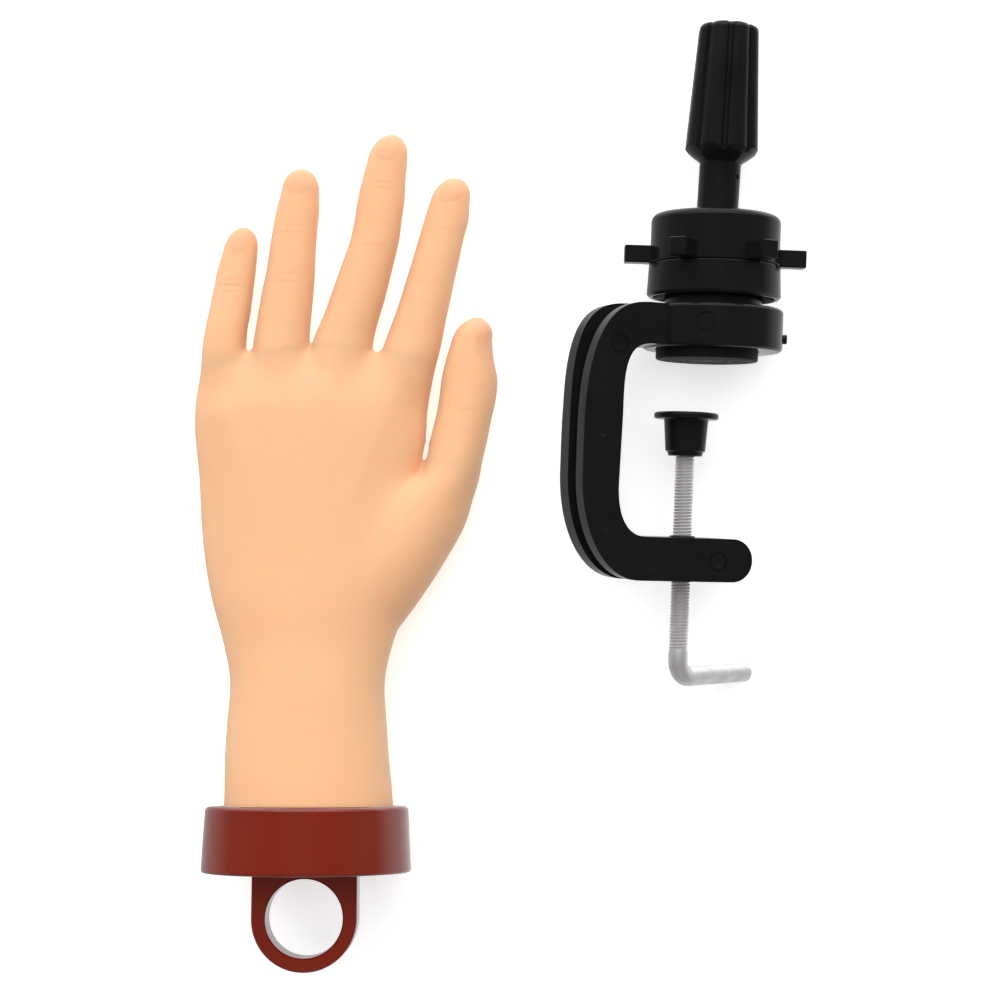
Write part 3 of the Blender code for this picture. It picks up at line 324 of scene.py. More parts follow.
def both_rims(plate: Shape, half: float) -> Edges:
    """The edges round the back and the front face of a plate of a half thickness."""
    return rim_edges(plate, -half) + rim_edges(plate, half)


def block(size: Vector, centre: Vector, radius: float) -> Shape:
    """Make a box with rounded edges.

    Args:
        size: Its whole size.
        centre: Its middle.
        radius: Rounding of all its edges.

    Returns:
        The box.
    """
    shape = bmesh.new()
    bmesh.ops.create_cube(shape, size=1.0)
    bmesh.ops.scale(shape, vec=size, verts=shape.verts)
    bmesh.ops.translate(shape, vec=centre, verts=shape.verts)
    soften(shape, shape.edges, radius, 3)
    return shape


def ring_at(shape: Shape, segments: int, place: RingRule) -> Edges:
    """Add a closed ring of points.

    Args:
        shape: The shape that gets the ring.
        segments: Number of points.
        place: Gives the point at each turn, in radians.

    Returns:
        The ring's edges.
    """
    made = bmesh.ops.create_circle(shape, cap_ends=False, segments=segments, radius=1.0)["verts"]
    for vert in made:
        vert.co = place(math.atan2(vert.co.y, vert.co.x))
    return list({edge for vert in made for edge in vert.link_edges})


def loft(segments: int, rings: Sequence[RingRule]) -> Shape:
    """Bridge rings of points into a surface that is closed at both ends.

    Args:
        segments: Number of points in each ring.
        rings: Gives each ring's point at a turn.

    Returns:
        The surface.
    """
    shape = bmesh.new()
    loops = [ring_at(shape, segments, place) for place in rings]
    for low, high in zip(loops, loops[1:]):
        bmesh.ops.bridge_loops(shape, edges=low + high)
    bmesh.ops.holes_fill(shape, edges=shape.edges, sides=0)
    bmesh.ops.recalc_face_normals(shape, faces=shape.faces)
    return shape


def moved(shape: Shape, matrix: Matrix) -> Shape:
    """Move a shape and give it back."""
    bmesh.ops.transform(shape, matrix=matrix, verts=shape.verts)
    return shape


def joined(shapes: Sequence[Shape]) -> Shape:
    """Gather separate shapes in one.

    Args:
        shapes: The shapes, which are used up.

    Returns:
        The shape that holds them all.
    """
    whole = bmesh.new()
    for shape in shapes:
        held = bpy.data.meshes.new("held")
        shape.to_mesh(held)
        shape.free()
        whole.from_mesh(held)
        bpy.data.meshes.remove(held)
    return whole


def to_object(name: str, shape: Shape) -> Item:
    """Make a linked object of a shape.

    Args:
        name: The object's name.
        shape: The shape, which is used up.

    Returns:
        The object.
    """
    mesh = bpy.data.meshes.new(name)
    shape.to_mesh(mesh)
    shape.free()
    item = bpy.data.objects.new(name, mesh)
    bpy.context.scene.collection.objects.link(item)
    return item


def evaluated(item: Item, helpers: Sequence[Item] = ()) -> Shape:
    """Take the finished mesh of a temporary object and delete it.

    Args:
        item: The object, with its modifiers.
        helpers: Other objects that its modifiers use.

    Returns:
        The mesh after the modifiers.
    """
    bpy.context.view_layer.update()
    graph = bpy.context.evaluated_depsgraph_get()
    seen = item.evaluated_get(graph)
    shape = bmesh.new()
    shape.from_mesh(seen.to_mesh())
    seen.to_mesh_clear()
    for used in (item, *helpers):
        mesh = used.data
        bpy.data.objects.remove(used)
        bpy.data.meshes.remove(mesh)
    return shape


def combined(base: Shape, tools: Sequence[tuple[Cut, Shape]]) -> Shape:
    """Cut and join shapes one after the other.

    Args:
        base: The shape to start from.
        tools: What each tool does, and its shape.

    Returns:
        The resulting shape.
    """
    item = to_object("base", base)
    helpers = []
    for cut, tool in tools:
        helper = to_object("tool", tool)
        change = item.modifiers.new("change", "BOOLEAN")
        change.object = helper
        change.operation = cut.value
        change.solver = "EXACT"
        helpers.append(helper)
    return evaluated(item, helpers)


def rod(start: Vector, end: Vector, radius: float, steps: int = 48) -> Shape:
    """Make a round bar between two points.

    Args:
        start: One end of its axis.
        end: The other end.
        radius: Its radius.
        steps: Number of facets.

    Returns:
        The bar.
    """
    span = end - start
    turn = span.to_track_quat("Z", "Y").to_matrix().to_4x4()
    shape = bmesh.new()
    bmesh.ops.create_cone(
        shape,
        cap_ends=True,
        segments=steps,
        radius1=radius,
        radius2=radius,
        depth=span.length,
        matrix=Matrix.Translation((start + end) / 2) @ turn,
    )
    return shape


# Materials


class NodeSheet:
    """A node tree that is written node by node."""

    def __init__(self, tree: Tree) -> None:
        """Start writing in a tree.

        Args:
            tree: The tree that gets the nodes.
        """
        self.tree = tree

    def add(self, kind: str, values: dict | None = None, **settings: object) -> bpy.types.Node:
        """Add a node.

        Args:
            kind: The node's type, without the words ShaderNode.
            values: Values or sources for its inputs, by name or number.
            **settings: Properties of the node.

        Returns:
            The new node.
        """
        node = self.tree.nodes.new("ShaderNode" + kind)
        for name, value in settings.items():
            setattr(node, name, value)
        for key, value in (values or {}).items():
            if isinstance(value, Socket):
                self.tree.links.new(value, node.inputs[key])
            else:
                node.inputs[key].default_value = value
        return node

    def math(self, operation: str, first: object, second: object) -> Socket:
        """Add a Math node and give its output."""
        return self.add("Math", {0: first, 1: second}, operation=operation).outputs[0]

    def noise(self, place: Socket, scale: object, detail: float) -> Socket:
        """Add a Noise node and give its value."""
        inputs = {"Vector": place, "Scale": scale, "Detail": detail}
        return self.add("TexNoise", inputs).outputs["Fac"]

    def spread(self, source: Socket, span: Pair, values: Pair) -> Socket:
        """Map a range of values to another, held at both ends.

        Args:
            source: The value that is mapped.
            span: Where the range starts and ends.
            values: The values at its start and its end.

        Returns:
            The mapped value.
        """
        return self.add("MapRange", dict(enumerate((source, *span, *values)))).outputs[0]

    def effect(self, group: Tree, **values: float) -> Socket:
        """Place a shared group with its own values and give its output."""
        return self.add("Group", values, node_tree=group).outputs[0]


class EffectSheet(NodeSheet):
    """The sheet of a shared group, which turns the place on a piece into one value."""

    def __init__(self, name: str, inputs: dict[str, float], output: str) -> None:
        """Start a group.

        Args:
            name: The group's name.
            inputs: Its inputs with their usual values.
            output: Its output.
        """
        super().__init__(bpy.data.node_groups.new(name, "ShaderNodeTree"))
        face = self.tree.interface
        for label, value in inputs.items():
            socket = face.new_socket(label, in_out="INPUT", socket_type="NodeSocketFloat")
            socket.default_value = value
        face.new_socket(output, in_out="OUTPUT", socket_type="NodeSocketFloat")
        self.inputs = self.tree.nodes.new("NodeGroupInput").outputs
        self.output = self.tree.nodes.new("NodeGroupOutput").inputs[output]
        self.place = self.add("TexCoord").outputs["Object"]

    def finished(self, value: Socket) -> Tree:
        """Put a value out and give the group's tree."""
        self.tree.links.new(value, self.output)
        return self.tree


def mottle_group() -> Tree:
    """Build soft uneven patches of two sizes, for colour and gloss that vary slowly.

    Returns:
        The group, which puts out a value about 0.5.
    """
    finer, broad_share, small_share, middle = 5.3, 0.7, 0.3, 0.5
    sheet = EffectSheet("soft_mottle", {"Scale": 60.0, "Contrast": 1.0}, "Value")
    scale = sheet.inputs["Scale"]
    broad = sheet.noise(sheet.place, scale, 3.0)
    small = sheet.noise(sheet.place, sheet.math("MULTIPLY", scale, finer), 2.0)
    broad = sheet.math("MULTIPLY", broad, broad_share)
    both = sheet.math("ADD", broad, sheet.math("MULTIPLY", small, small_share))
    centred = sheet.math("SUBTRACT", both, middle)
    scaled = sheet.math("MULTIPLY", centred, sheet.inputs["Contrast"])
    return sheet.finished(sheet.math("ADD", scaled, middle))


def grain_group() -> Tree:
    """Build the fine grain of a moulded surface.

    Returns:
        The group, which puts out a height from 0 to 1.
    """
    wider, pit_span = 0.35, (0.05, 0.35)
    sheet = EffectSheet("fine_grain", {"Scale": 1500.0, "Pits": 0.3}, "Height")
    scale = sheet.inputs["Scale"]
    noise = sheet.noise(sheet.place, scale, 4.0)
    cell_inputs = {"Vector": sheet.place, "Scale": sheet.math("MULTIPLY", scale, wider)}
    cells = sheet.add("TexVoronoi", cell_inputs).outputs["Distance"]
    pits = sheet.math("SUBTRACT", 1.0, sheet.spread(cells, pit_span, (0.0, 1.0)))
    depth = sheet.math("MULTIPLY", pits, sheet.inputs["Pits"])
    return sheet.finished(sheet.math("SUBTRACT", noise, depth))


def scuff_group() -> Tree:
    """Build thin hair marks of handling that run along the Y axis.

    Returns:
        The group, which puts out a mask from 0 to 1.
    """
    stretch, hair_span = (9.0, 0.7, 9.0), (0.62, 0.72)
    sheet = EffectSheet("hair_scuffs", {"Scale": 90.0, "Amount": 0.5}, "Mask")
    stretched = sheet.add("Mapping", {"Vector": sheet.place, "Scale": stretch}).outputs[0]
    noise = sheet.noise(stretched, sheet.inputs["Scale"], 6.0)
    thin = sheet.spread(noise, hair_span, (0.0, 1.0))
    return sheet.finished(sheet.math("MULTIPLY", thin, sheet.inputs["Amount"]))


@dataclass(frozen=True)
class Effects:
    """The shared node groups, each built once."""

    mottle: Tree = field(default_factory=mottle_group)
    grain: Tree = field(default_factory=grain_group)
    scuffs: Tree = field(default_factory=scuff_group)


def opaque(color: Triple) -> tuple[float, float, float, float]:
    """A colour with full alpha."""
    return (*color, 1.0)


class Surface(NodeSheet):
    """A material under way, with the steps that all finishes take."""

    def __init__(self, name: str) -> None:
        """Start a material.

        Args:
            name: The material's name.
        """
        self.material = bpy.data.materials.new(name)
        self.material.use_nodes = True
        super().__init__(self.material.node_tree)
        self.shader = self.tree.nodes["Principled BSDF"]

    def even(self, values: dict[str, object]) -> None:
        """Set what is the same all over the surface, by the shader's own words."""
        for label, value in values.items():
            self.shader.inputs[label].default_value = value

    def varied(self, label: str, source: Socket) -> None:
        """Let one of the shader's inputs change over the surface."""
        self.tree.links.new(source, self.shader.inputs[label])

    def blend(self, share: object, first: object, color: Triple) -> Socket:
        """Mix a colour into another by a share and give the mixed one."""
        inputs = {0: share, 6: first, 7: opaque(color)}
        return self.add("Mix", inputs, data_type="RGBA").outputs[2]

    def rough(self, patches: Socket, span: Pair, levels: Pair, marks: Socket, wear: float) -> None:
        """Let the roughness follow the patches and change where there are marks.

        Args:
            patches: The soft patches.
            span: The patches' values between which the roughness changes.
            levels: The roughness at both ends of the span.
            marks: Mask of the marks.
            wear: What a mark adds to the roughness.
        """
        plain = self.spread(patches, span, levels)
        marked = self.math("MULTIPLY", marks, wear)
        self.varied("Roughness", self.math("ADD", plain, marked))

    def bumped(self, height: Socket, strength: float, reach: float) -> None:
        """Give the surface a bump.

        Args:
            height: The height, from 0 to 1.
            strength: Strength of the bump.
            reach: Height of the whole range, in metres.
        """
        bump = self.add("Bump", {"Strength": strength, "Distance": reach, "Height": height})
        self.varied("Normal", bump.outputs[0])


@dataclass(frozen=True)
class SkinFinish:
    """Soft satin skin of the hand, with painted shade in its folds and in the grooves round its nails, and a
    little deeper in tone on its nails.
    """

    base: Triple = (0.88, 0.522, 0.302)
    patch: Triple = (0.86, 0.495, 0.280)
    # Colour of the painted shade in the folds and in the grooves round the nails
    fold: Triple = (0.72, 0.310, 0.140)
    nail: Triple = (0.845, 0.470, 0.278)
    roughness: Pair = (0.39, 0.46)
    nail_gloss: float = 0.06
    depth: Triple = (1.0, 0.38, 0.16)
    depth_scale: float = 0.006

    def build(self, effects: Effects) -> Material:
        """Make the material.

        Args:
            effects: The shared node groups.

        Returns:
            The material.
        """
        surface = Surface("soft_skin")
        mottle = surface.effect(effects.mottle, Scale=45.0, Contrast=1.4)
        color = surface.blend(mottle, opaque(self.base), self.patch)
        nail = surface.add("Attribute", attribute_name="nail").outputs["Fac"]
        color = surface.blend(nail, color, self.nail)
        # Painted shade: the fold colour darkens the creases and the grooves round the nails
        crease = surface.add("Attribute", attribute_name="crease").outputs["Fac"]
        surface.varied("Base Color", surface.blend(crease, color, self.fold))
        surface.rough(mottle, (0.3, 0.7), self.roughness, nail, -self.nail_gloss)
        surface.even(
            {
                "IOR": 1.42,
                "Specular IOR Level": 0.22,
                "Sheen Weight": 0.02,
                "Sheen Roughness": 0.4,
                "Subsurface Weight": 0.5,
                "Subsurface Radius": self.depth,
                "Subsurface Scale": self.depth_scale,
            }
        )
        surface.bumped(surface.effect(effects.grain, Scale=1300.0, Pits=0.25), 0.12, 0.00004)
        return surface.material


@dataclass(frozen=True)
class CapFinish:
    """Polished red-brown plastic of the cap and its ring."""

    base: Triple = (0.212, 0.0175, 0.0055)
    swirl: Triple = (0.180, 0.0140, 0.0050)
    roughness: Pair = (0.06, 0.10)
    wear: float = 0.08

    def build(self, effects: Effects) -> Material:
        """Make the material.

        Args:
            effects: The shared node groups.

        Returns:
            The material.
        """
        surface = Surface("polished_cap")
        mottle = surface.effect(effects.mottle, Scale=38.0, Contrast=1.8)
        scuffs = surface.effect(effects.scuffs, Scale=120.0, Amount=0.5)
        surface.varied("Base Color", surface.blend(mottle, opaque(self.base), self.swirl))
        surface.rough(mottle, (0.3, 0.7), self.roughness, scuffs, self.wear)
        surface.even({"Coat Weight": 0.25, "Coat Roughness": 0.03})
        surface.bumped(surface.effect(effects.grain, Scale=160.0, Pits=0.0), 0.10, 0.00008)
        return surface.material


@dataclass(frozen=True)
class MouldedFinish:
    """Moulded plastic or rubber, satin black unless told otherwise."""

    name: str = "satin_black"
    base: Triple = (0.0078, 0.0065, 0.0080)
    pale: Triple = (0.0112, 0.0094, 0.0112)
    roughness: Pair = (0.13, 0.22)
    specular: float = 0.18
    grain: float = 0.08
    scale: float = 900.0
    scuffed: Triple = (0.022, 0.020, 0.021)
    scuff_share: float = 0.2
    wear: float = 0.1

    def build(self, effects: Effects) -> Material:
        """Make the material.

        Args:
            effects: The shared node groups.

        Returns:
            The material.
        """
        surface = Surface(self.name)
        mottle = surface.effect(effects.mottle, Scale=70.0, Contrast=2.0)
        scuffs = surface.effect(effects.scuffs, Scale=240.0, Amount=0.35)
        color = surface.blend(mottle, opaque(self.base), self.pale)
        share = surface.math("MULTIPLY", scuffs, self.scuff_share)
        surface.varied("Base Color", surface.blend(share, color, self.scuffed))
        surface.rough(mottle, (0.25, 0.75), self.roughness, scuffs, self.wear)
        surface.even({"Specular IOR Level": self.specular})
        grain = surface.effect(effects.grain, Scale=self.scale, Pits=0.35)
        surface.bumped(grain, self.grain, 0.00006)
        return surface.material


@dataclass(frozen=True)
class PlatedFinish:
    """Bright zinc on drawn steel, or a darker plating."""

    name: str = "bright_zinc"
    base: Triple = (0.80, 0.78, 0.79)
    dull: Triple = (0.69, 0.67, 0.68)
    roughness: Pair = (0.32, 0.52)
    metal: float = 0.68
    wear: float = 0.15

    def build(self, effects: Effects) -> Material:
        """Make the material.

        Args:
            effects: The shared node groups.

        Returns:
            The material.
        """
        surface = Surface(self.name)
        mottle = surface.effect(effects.mottle, Scale=260.0, Contrast=2.4)
        scuffs = surface.effect(effects.scuffs, Scale=260.0, Amount=0.8)
        surface.varied("Base Color", surface.blend(mottle, opaque(self.base), self.dull))
        surface.rough(mottle, (0.25, 0.75), self.roughness, scuffs, self.wear)
        surface.even({"Metallic": self.metal})
        surface.bumped(scuffs, 0.15, 0.00003)
        return surface.material


FINISHES = {
    Slot.SKIN: SkinFinish(),
    Slot.CAP: CapFinish(),
    Slot.BLACK: MouldedFinish(),
    Slot.PAD: MouldedFinish(
        name="matt_rubber", base=(0.007, 0.0065, 0.0065), pale=(0.011, 0.010, 0.010),
        roughness=(0.58, 0.67), specular=0.2, grain=0.5, scale=600.0,
    ),
    Slot.DARK: PlatedFinish(
        name="blackened_steel", base=(0.045, 0.043, 0.045), dull=(0.02, 0.02, 0.02)
    ),
    Slot.STEEL: PlatedFinish(),
    Slot.CORE: MouldedFinish(
        name="natural_core", base=(0.72, 0.69, 0.64), pale=(0.64, 0.61, 0.56),
        roughness=(0.46, 0.55), specular=0.5, grain=0.3, scale=500.0,
    ),
}

Materials = dict[Slot, Material]


def made_finishes() -> Materials:
    """Make the material of every slot once."""
    effects = Effects()
    return {slot: finish.build(effects) for slot, finish in FINISHES.items()}


# No edge is as sharp as this angle, so the whole surface is shaded smooth
ALL_SMOOTH = 180.0


@dataclass(frozen=True)
class Fitting:
    """How a finished shape becomes a piece: its name, body, slot and CAD nodes, and its shading."""

    name: str
    body: Body
    slot: Slot
    nodes: tuple[str, ...]
    sharp: float = 32.0


def shown(shape: Shape, place: Matrix, fitting: Fitting, materials: Materials) -> Item:
    """Make an object of a shape, with its place in its mesh.

    Args:
        shape: The shape, in millimetres of its frame.
        place: The frame's matrix.
        fitting: How the shape becomes a piece.
        materials: The material of each slot.

    Returns:
        The piece, which rides on nothing yet.
    """
    item = to_object(fitting.name, moved(shape, place))
    mesh = item.data
    mesh.materials.append(materials[fitting.slot])
    mesh.shade_smooth()
    mesh.set_sharp_from_angle(angle=math.radians(fitting.sharp))
    if fitting.sharp < ALL_SMOOTH:
        even = item.modifiers.new("even_shading", "WEIGHTED_NORMAL")
        even.keep_sharp = True
    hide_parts(*fitting.nodes)
    LOG.info("%s: %d faces, rides on %s", fitting.name, len(mesh.polygons), fitting.body.value)
    return item


@dataclass
class RigidAssembly:
    """A sub-assembly of rigid pieces, which are modelled in one frame."""

    place: Matrix = field(default_factory=clamp_frame)

    def pieces(self) -> Iterator[tuple[Fitting, Shape]]:
        """Give each piece's fitting and its shape, in turn."""
        raise NotImplementedError

    def dress(self, materials: Materials) -> None:
        """Make every piece and let it ride on its body.

        Args:
            materials: The material of each slot.
        """
        for fitting, shape in self.pieces():
            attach(shown(shape, self.place, fitting, materials), fitting.body.value)


# The hand


def ramp(values: Row, start: float, end: float) -> Row:
    """Rise from 0 at one value to 1 at another, which may be the smaller one."""
    return np.clip((values - start) / (end - start), 0.0, 1.0)


def hump(values: Row, middle: Row | float, reach: float, power: int = 2) -> Row:
    """Rise to 1 about a middle; a power of 4 makes the top flatter."""
    return np.exp(-(((values - middle) / reach) ** power))


@dataclass(frozen=True)
class Section:
    """One upright cross-section of the skin, in millimetres."""

    along: float
    left: float
    right: float
    height: float
    depth: float


def smoothed(sections: Sequence[Section], step: float) -> list[Section]:
    """Add sections between the given ones on smooth curves.

    Args:
        sections: The given sections.
        step: Distance between the new ones.

    Returns:
        The sections, evenly spaced.
    """
    table = np.array([astuple(section) for section in sections])
    along = table[:, 0]
    slopes = np.gradient(table, along, axis=0)
    count = max(2, round((along[-1] - along[0]) / step))
    found = []
    for y in np.linspace(along[0], along[-1], count + 1):
        low = min(int(np.searchsorted(along, y, side="right")) - 1, len(along) - 2)
        span = along[low + 1] - along[low]
        t = (y - along[low]) / span
        row = (
            (1 + 2 * t) * (1 - t) ** 2 * table[low]
            + t * (1 - t) ** 2 * span * slopes[low]
            + t**2 * (3 - 2 * t) * table[low + 1]
            + t**2 * (t - 1) * span * slopes[low + 1]
        )
        found.append(Section(float(y), *map(float, row[1:])))
    return found


def domed(last: Section, tip: Vector, steps: int = 9) -> list[Section]:
    """Close a finger with a rounded end.

    Args:
        last: The last full section.
        tip: The end point.
        steps: Number of sections of the round end.

    Returns:
        The sections after the last full one.
    """
    # The last section keeps a small width, which the loft fills
    short = 0.12
    centre = (last.left + last.right) / 2
    half = (last.right - last.left) / 2
    found = []
    for k in range(1, steps + 1):
        turn = math.pi / 2 * (k - short) / steps
        share = math.sin(turn)
        width = half * math.cos(turn)
        middle = centre + (tip.x - centre) * share
        along = last.along + (tip.y - last.along) * share
        height = last.height + (tip.z - last.height) * share
        depth = last.depth * math.cos(turn)
        found.append(Section(along, middle - width, middle + width, height, depth))
    return found


def skin_tube(sections: Sequence[Section], square: float) -> Shape:
    """Make a closed tube through sections.

    Args:
        sections: The sections in order.
        square: 2 for ovals, more for squarer sections.

    Returns:
        The tube.
    """
    power = 2.0 / square

    def placed(section: Section) -> RingRule:
        """Give the rule for the points of one ring."""
        middle = (section.left + section.right) / 2
        half = (section.right - section.left) / 2

        def point(turn: float) -> Vector:
            """The ring's point at a turn."""
            across = math.copysign(abs(math.cos(turn)) ** power, math.cos(turn))
            up = math.copysign(abs(math.sin(turn)) ** power, math.sin(turn))
            height = section.height + section.depth * up
            return Vector((middle + half * across, section.along, height))

        return point

    return loft(64, [placed(section) for section in sections])


@dataclass(frozen=True)
class Nail:
    """A nail in the skin: its reach from the tip, its width, where it faces and how flat it is."""

    length: float
    width: float
    turn: float = 0.0
    flat: float = 0.0


@dataclass(frozen=True)
class Crease:
    """A fold across a finger's back: its distance from the tip, its reach and its depth."""

    distance: float
    reach: float
    depth: float


@dataclass(frozen=True)
class Digit:
    """One finger: its middle line and widths, its tip and the details on its back.

    The stations are places along the finger with its middle and its width there, and the levels are
    places along it with its height over the table and its half thickness.
    """

    body: Body
    node: str
    joint: str
    stations: tuple[Triple, ...]
    tip: Triple
    levels: tuple[Triple, ...]
    nail: Nail
    creases: tuple[Crease, ...]
    blend_reach: float = 16.0

    def sections(self) -> list[Section]:
        """Give all sections of the finger.

        Returns:
            The sections, from inside the palm to the tip.
        """
        along, heights, depths = zip(*self.levels)
        rows = []
        for place, centre, width in self.stations:
            height = float(np.interp(place, along, heights))
            depth = float(np.interp(place, along, depths))
            rows.append(Section(place, centre - width / 2, centre + width / 2, height, depth))
        full = smoothed(rows, 1.5)
        return [*full, *domed(full[-1], Vector(self.tip))]

    def middle(self, y: Row) -> Row:
        """Find the finger's middle line.

        Args:
            y: Places along the finger.

        Returns:
            The middle line's place across the hand, at each of them.
        """
        places, centres, _ = np.array(self.stations).T
        share = (y - places[-1]) / (self.tip[1] - places[-1])
        ahead = centres[-1] + (self.tip[0] - centres[-1]) * share
        return np.where(y > places[-1], ahead, np.interp(y, places, centres))


DIGITS = (
    Digit(
        Body.LITTLE, "little_finger", "little_finger_bend",
        (
            (122.0, -27.5, 15.0), (137.0, -28.8, 14.6), (150.1, -28.0, 13.5), (156.6, -26.9, 13.4),
            (163.1, -26.0, 12.9), (169.6, -25.1, 12.5), (176.1, -24.0, 11.2),
        ),
        (-23.0, 184.0, 7.0),
        (
            (122.0, 13.8, 8.6), (131.0, 13.8, 9.0), (138.0, 13.1, 8.4), (150.1, 12.0, 7.4),
            (176.1, 7.8, 5.0),
        ),
        Nail(8.6, 6.4),
        (Crease(18.0, 3.4, 0.07), Crease(19.8, 4.2, 0.10), Crease(21.9, 3.2, 0.06)),
        13.0,
    ),
    Digit(
        Body.RING, "ring_finger", "ring_finger_bend",
        (
            (122.0, -11.0, 20.0), (138.0, -10.6, 19.0), (150.0, -9.8, 17.5), (156.6, -9.0, 17.1),
            (163.1, -8.2, 16.6), (169.6, -7.4, 15.7), (176.1, -6.9, 15.0), (182.7, -6.2, 14.5),
            (189.2, -5.4, 13.9), (195.8, -4.6, 12.2),
        ),
        (-4.4, 203.0, 6.6),
        ((122.0, 14.9, 11.6), (138.0, 13.7, 9.9), (150.0, 12.4, 8.7), (195.8, 7.4, 5.4)),
        Nail(8.8, 8.4),
        (
            Crease(19.6, 3.4, 0.05), Crease(21.6, 3.8, 0.07),
            Crease(35.3, 4.0, 0.07), Crease(37.8, 4.4, 0.09),
        ),
    ),
    Digit(
        Body.MIDDLE, "middle_finger", "middle_finger_bend",
        (
            (122.0, 5.5, 21.5), (138.0, 8.2, 20.5), (150.0, 10.7, 18.9), (153.3, 11.9, 18.3),
            (159.8, 14.0, 17.9), (166.3, 15.9, 17.3), (172.8, 17.8, 16.6), (179.3, 19.6, 15.9),
            (185.9, 20.7, 15.4), (192.5, 21.6, 15.3), (199.1, 22.5, 14.2), (205.6, 23.6, 13.0),
        ),
        (24.9, 214.2, 6.4),
        ((122.0, 15.0, 11.9), (138.0, 13.8, 10.2), (150.0, 12.5, 9.0), (205.6, 7.2, 5.4)),
        Nail(9.2, 8.2),
        (Crease(16.6, 3.0, 0.06), Crease(18.6, 3.6, 0.07), Crease(37.4, 4.2, 0.09)),
    ),
    Digit(
        Body.INDEX, "index_finger", "index_finger_bend",
        (
            (122.0, 26.2, 21.0), (138.0, 29.8, 19.5), (146.0, 32.2, 18.4), (153.3, 34.2, 17.1),
            (159.8, 36.0, 16.3), (166.3, 37.6, 15.7), (172.8, 39.3, 15.2), (179.4, 40.9, 14.7),
            (185.9, 42.7, 14.5), (192.4, 43.9, 12.9),
        ),
        (45.5, 200.1, 6.6),
        (
            (122.0, 13.8, 9.2), (131.0, 14.1, 10.4), (138.0, 13.6, 9.8), (150.0, 12.3, 8.6),
            (192.4, 7.4, 5.3),
        ),
        Nail(8.6, 7.8),
        (Crease(17.8, 3.4, 0.05), Crease(35.0, 4.0, 0.05)),
    ),
)

THUMB = Digit(
    Body.THUMB, "thumb", "thumb_spread",
    (
        (52.0, 8.0, 36.0), (63.7, 15.5, 38.4), (76.3, 23.4, 39.0), (89.0, 31.6, 36.0),
        (95.6, 36.4, 30.2), (101.8, 43.0, 20.8), (108.2, 45.5, 18.2), (114.6, 46.9, 18.4),
        (121.1, 48.3, 18.1), (127.5, 49.6, 18.4), (133.9, 50.3, 18.2), (140.4, 50.4, 15.4),
        (146.8, 51.1, 13.1),
    ),
    (53.0, 154.3, 12.4),
    (
        (52.0, 22.0, 14.0), (63.7, 21.0, 16.0), (76.3, 19.5, 16.5), (89.0, 18.0, 15.3),
        (101.8, 17.0, 12.9), (114.6, 16.0, 10.8), (127.5, 15.0, 9.2), (140.4, 14.0, 7.6),
        (146.8, 13.4, 6.8),
    ),
    Nail(14.0, 10.2, -50.0, 0.5),
    (Crease(30.2, 3.6, 0.07),),
)


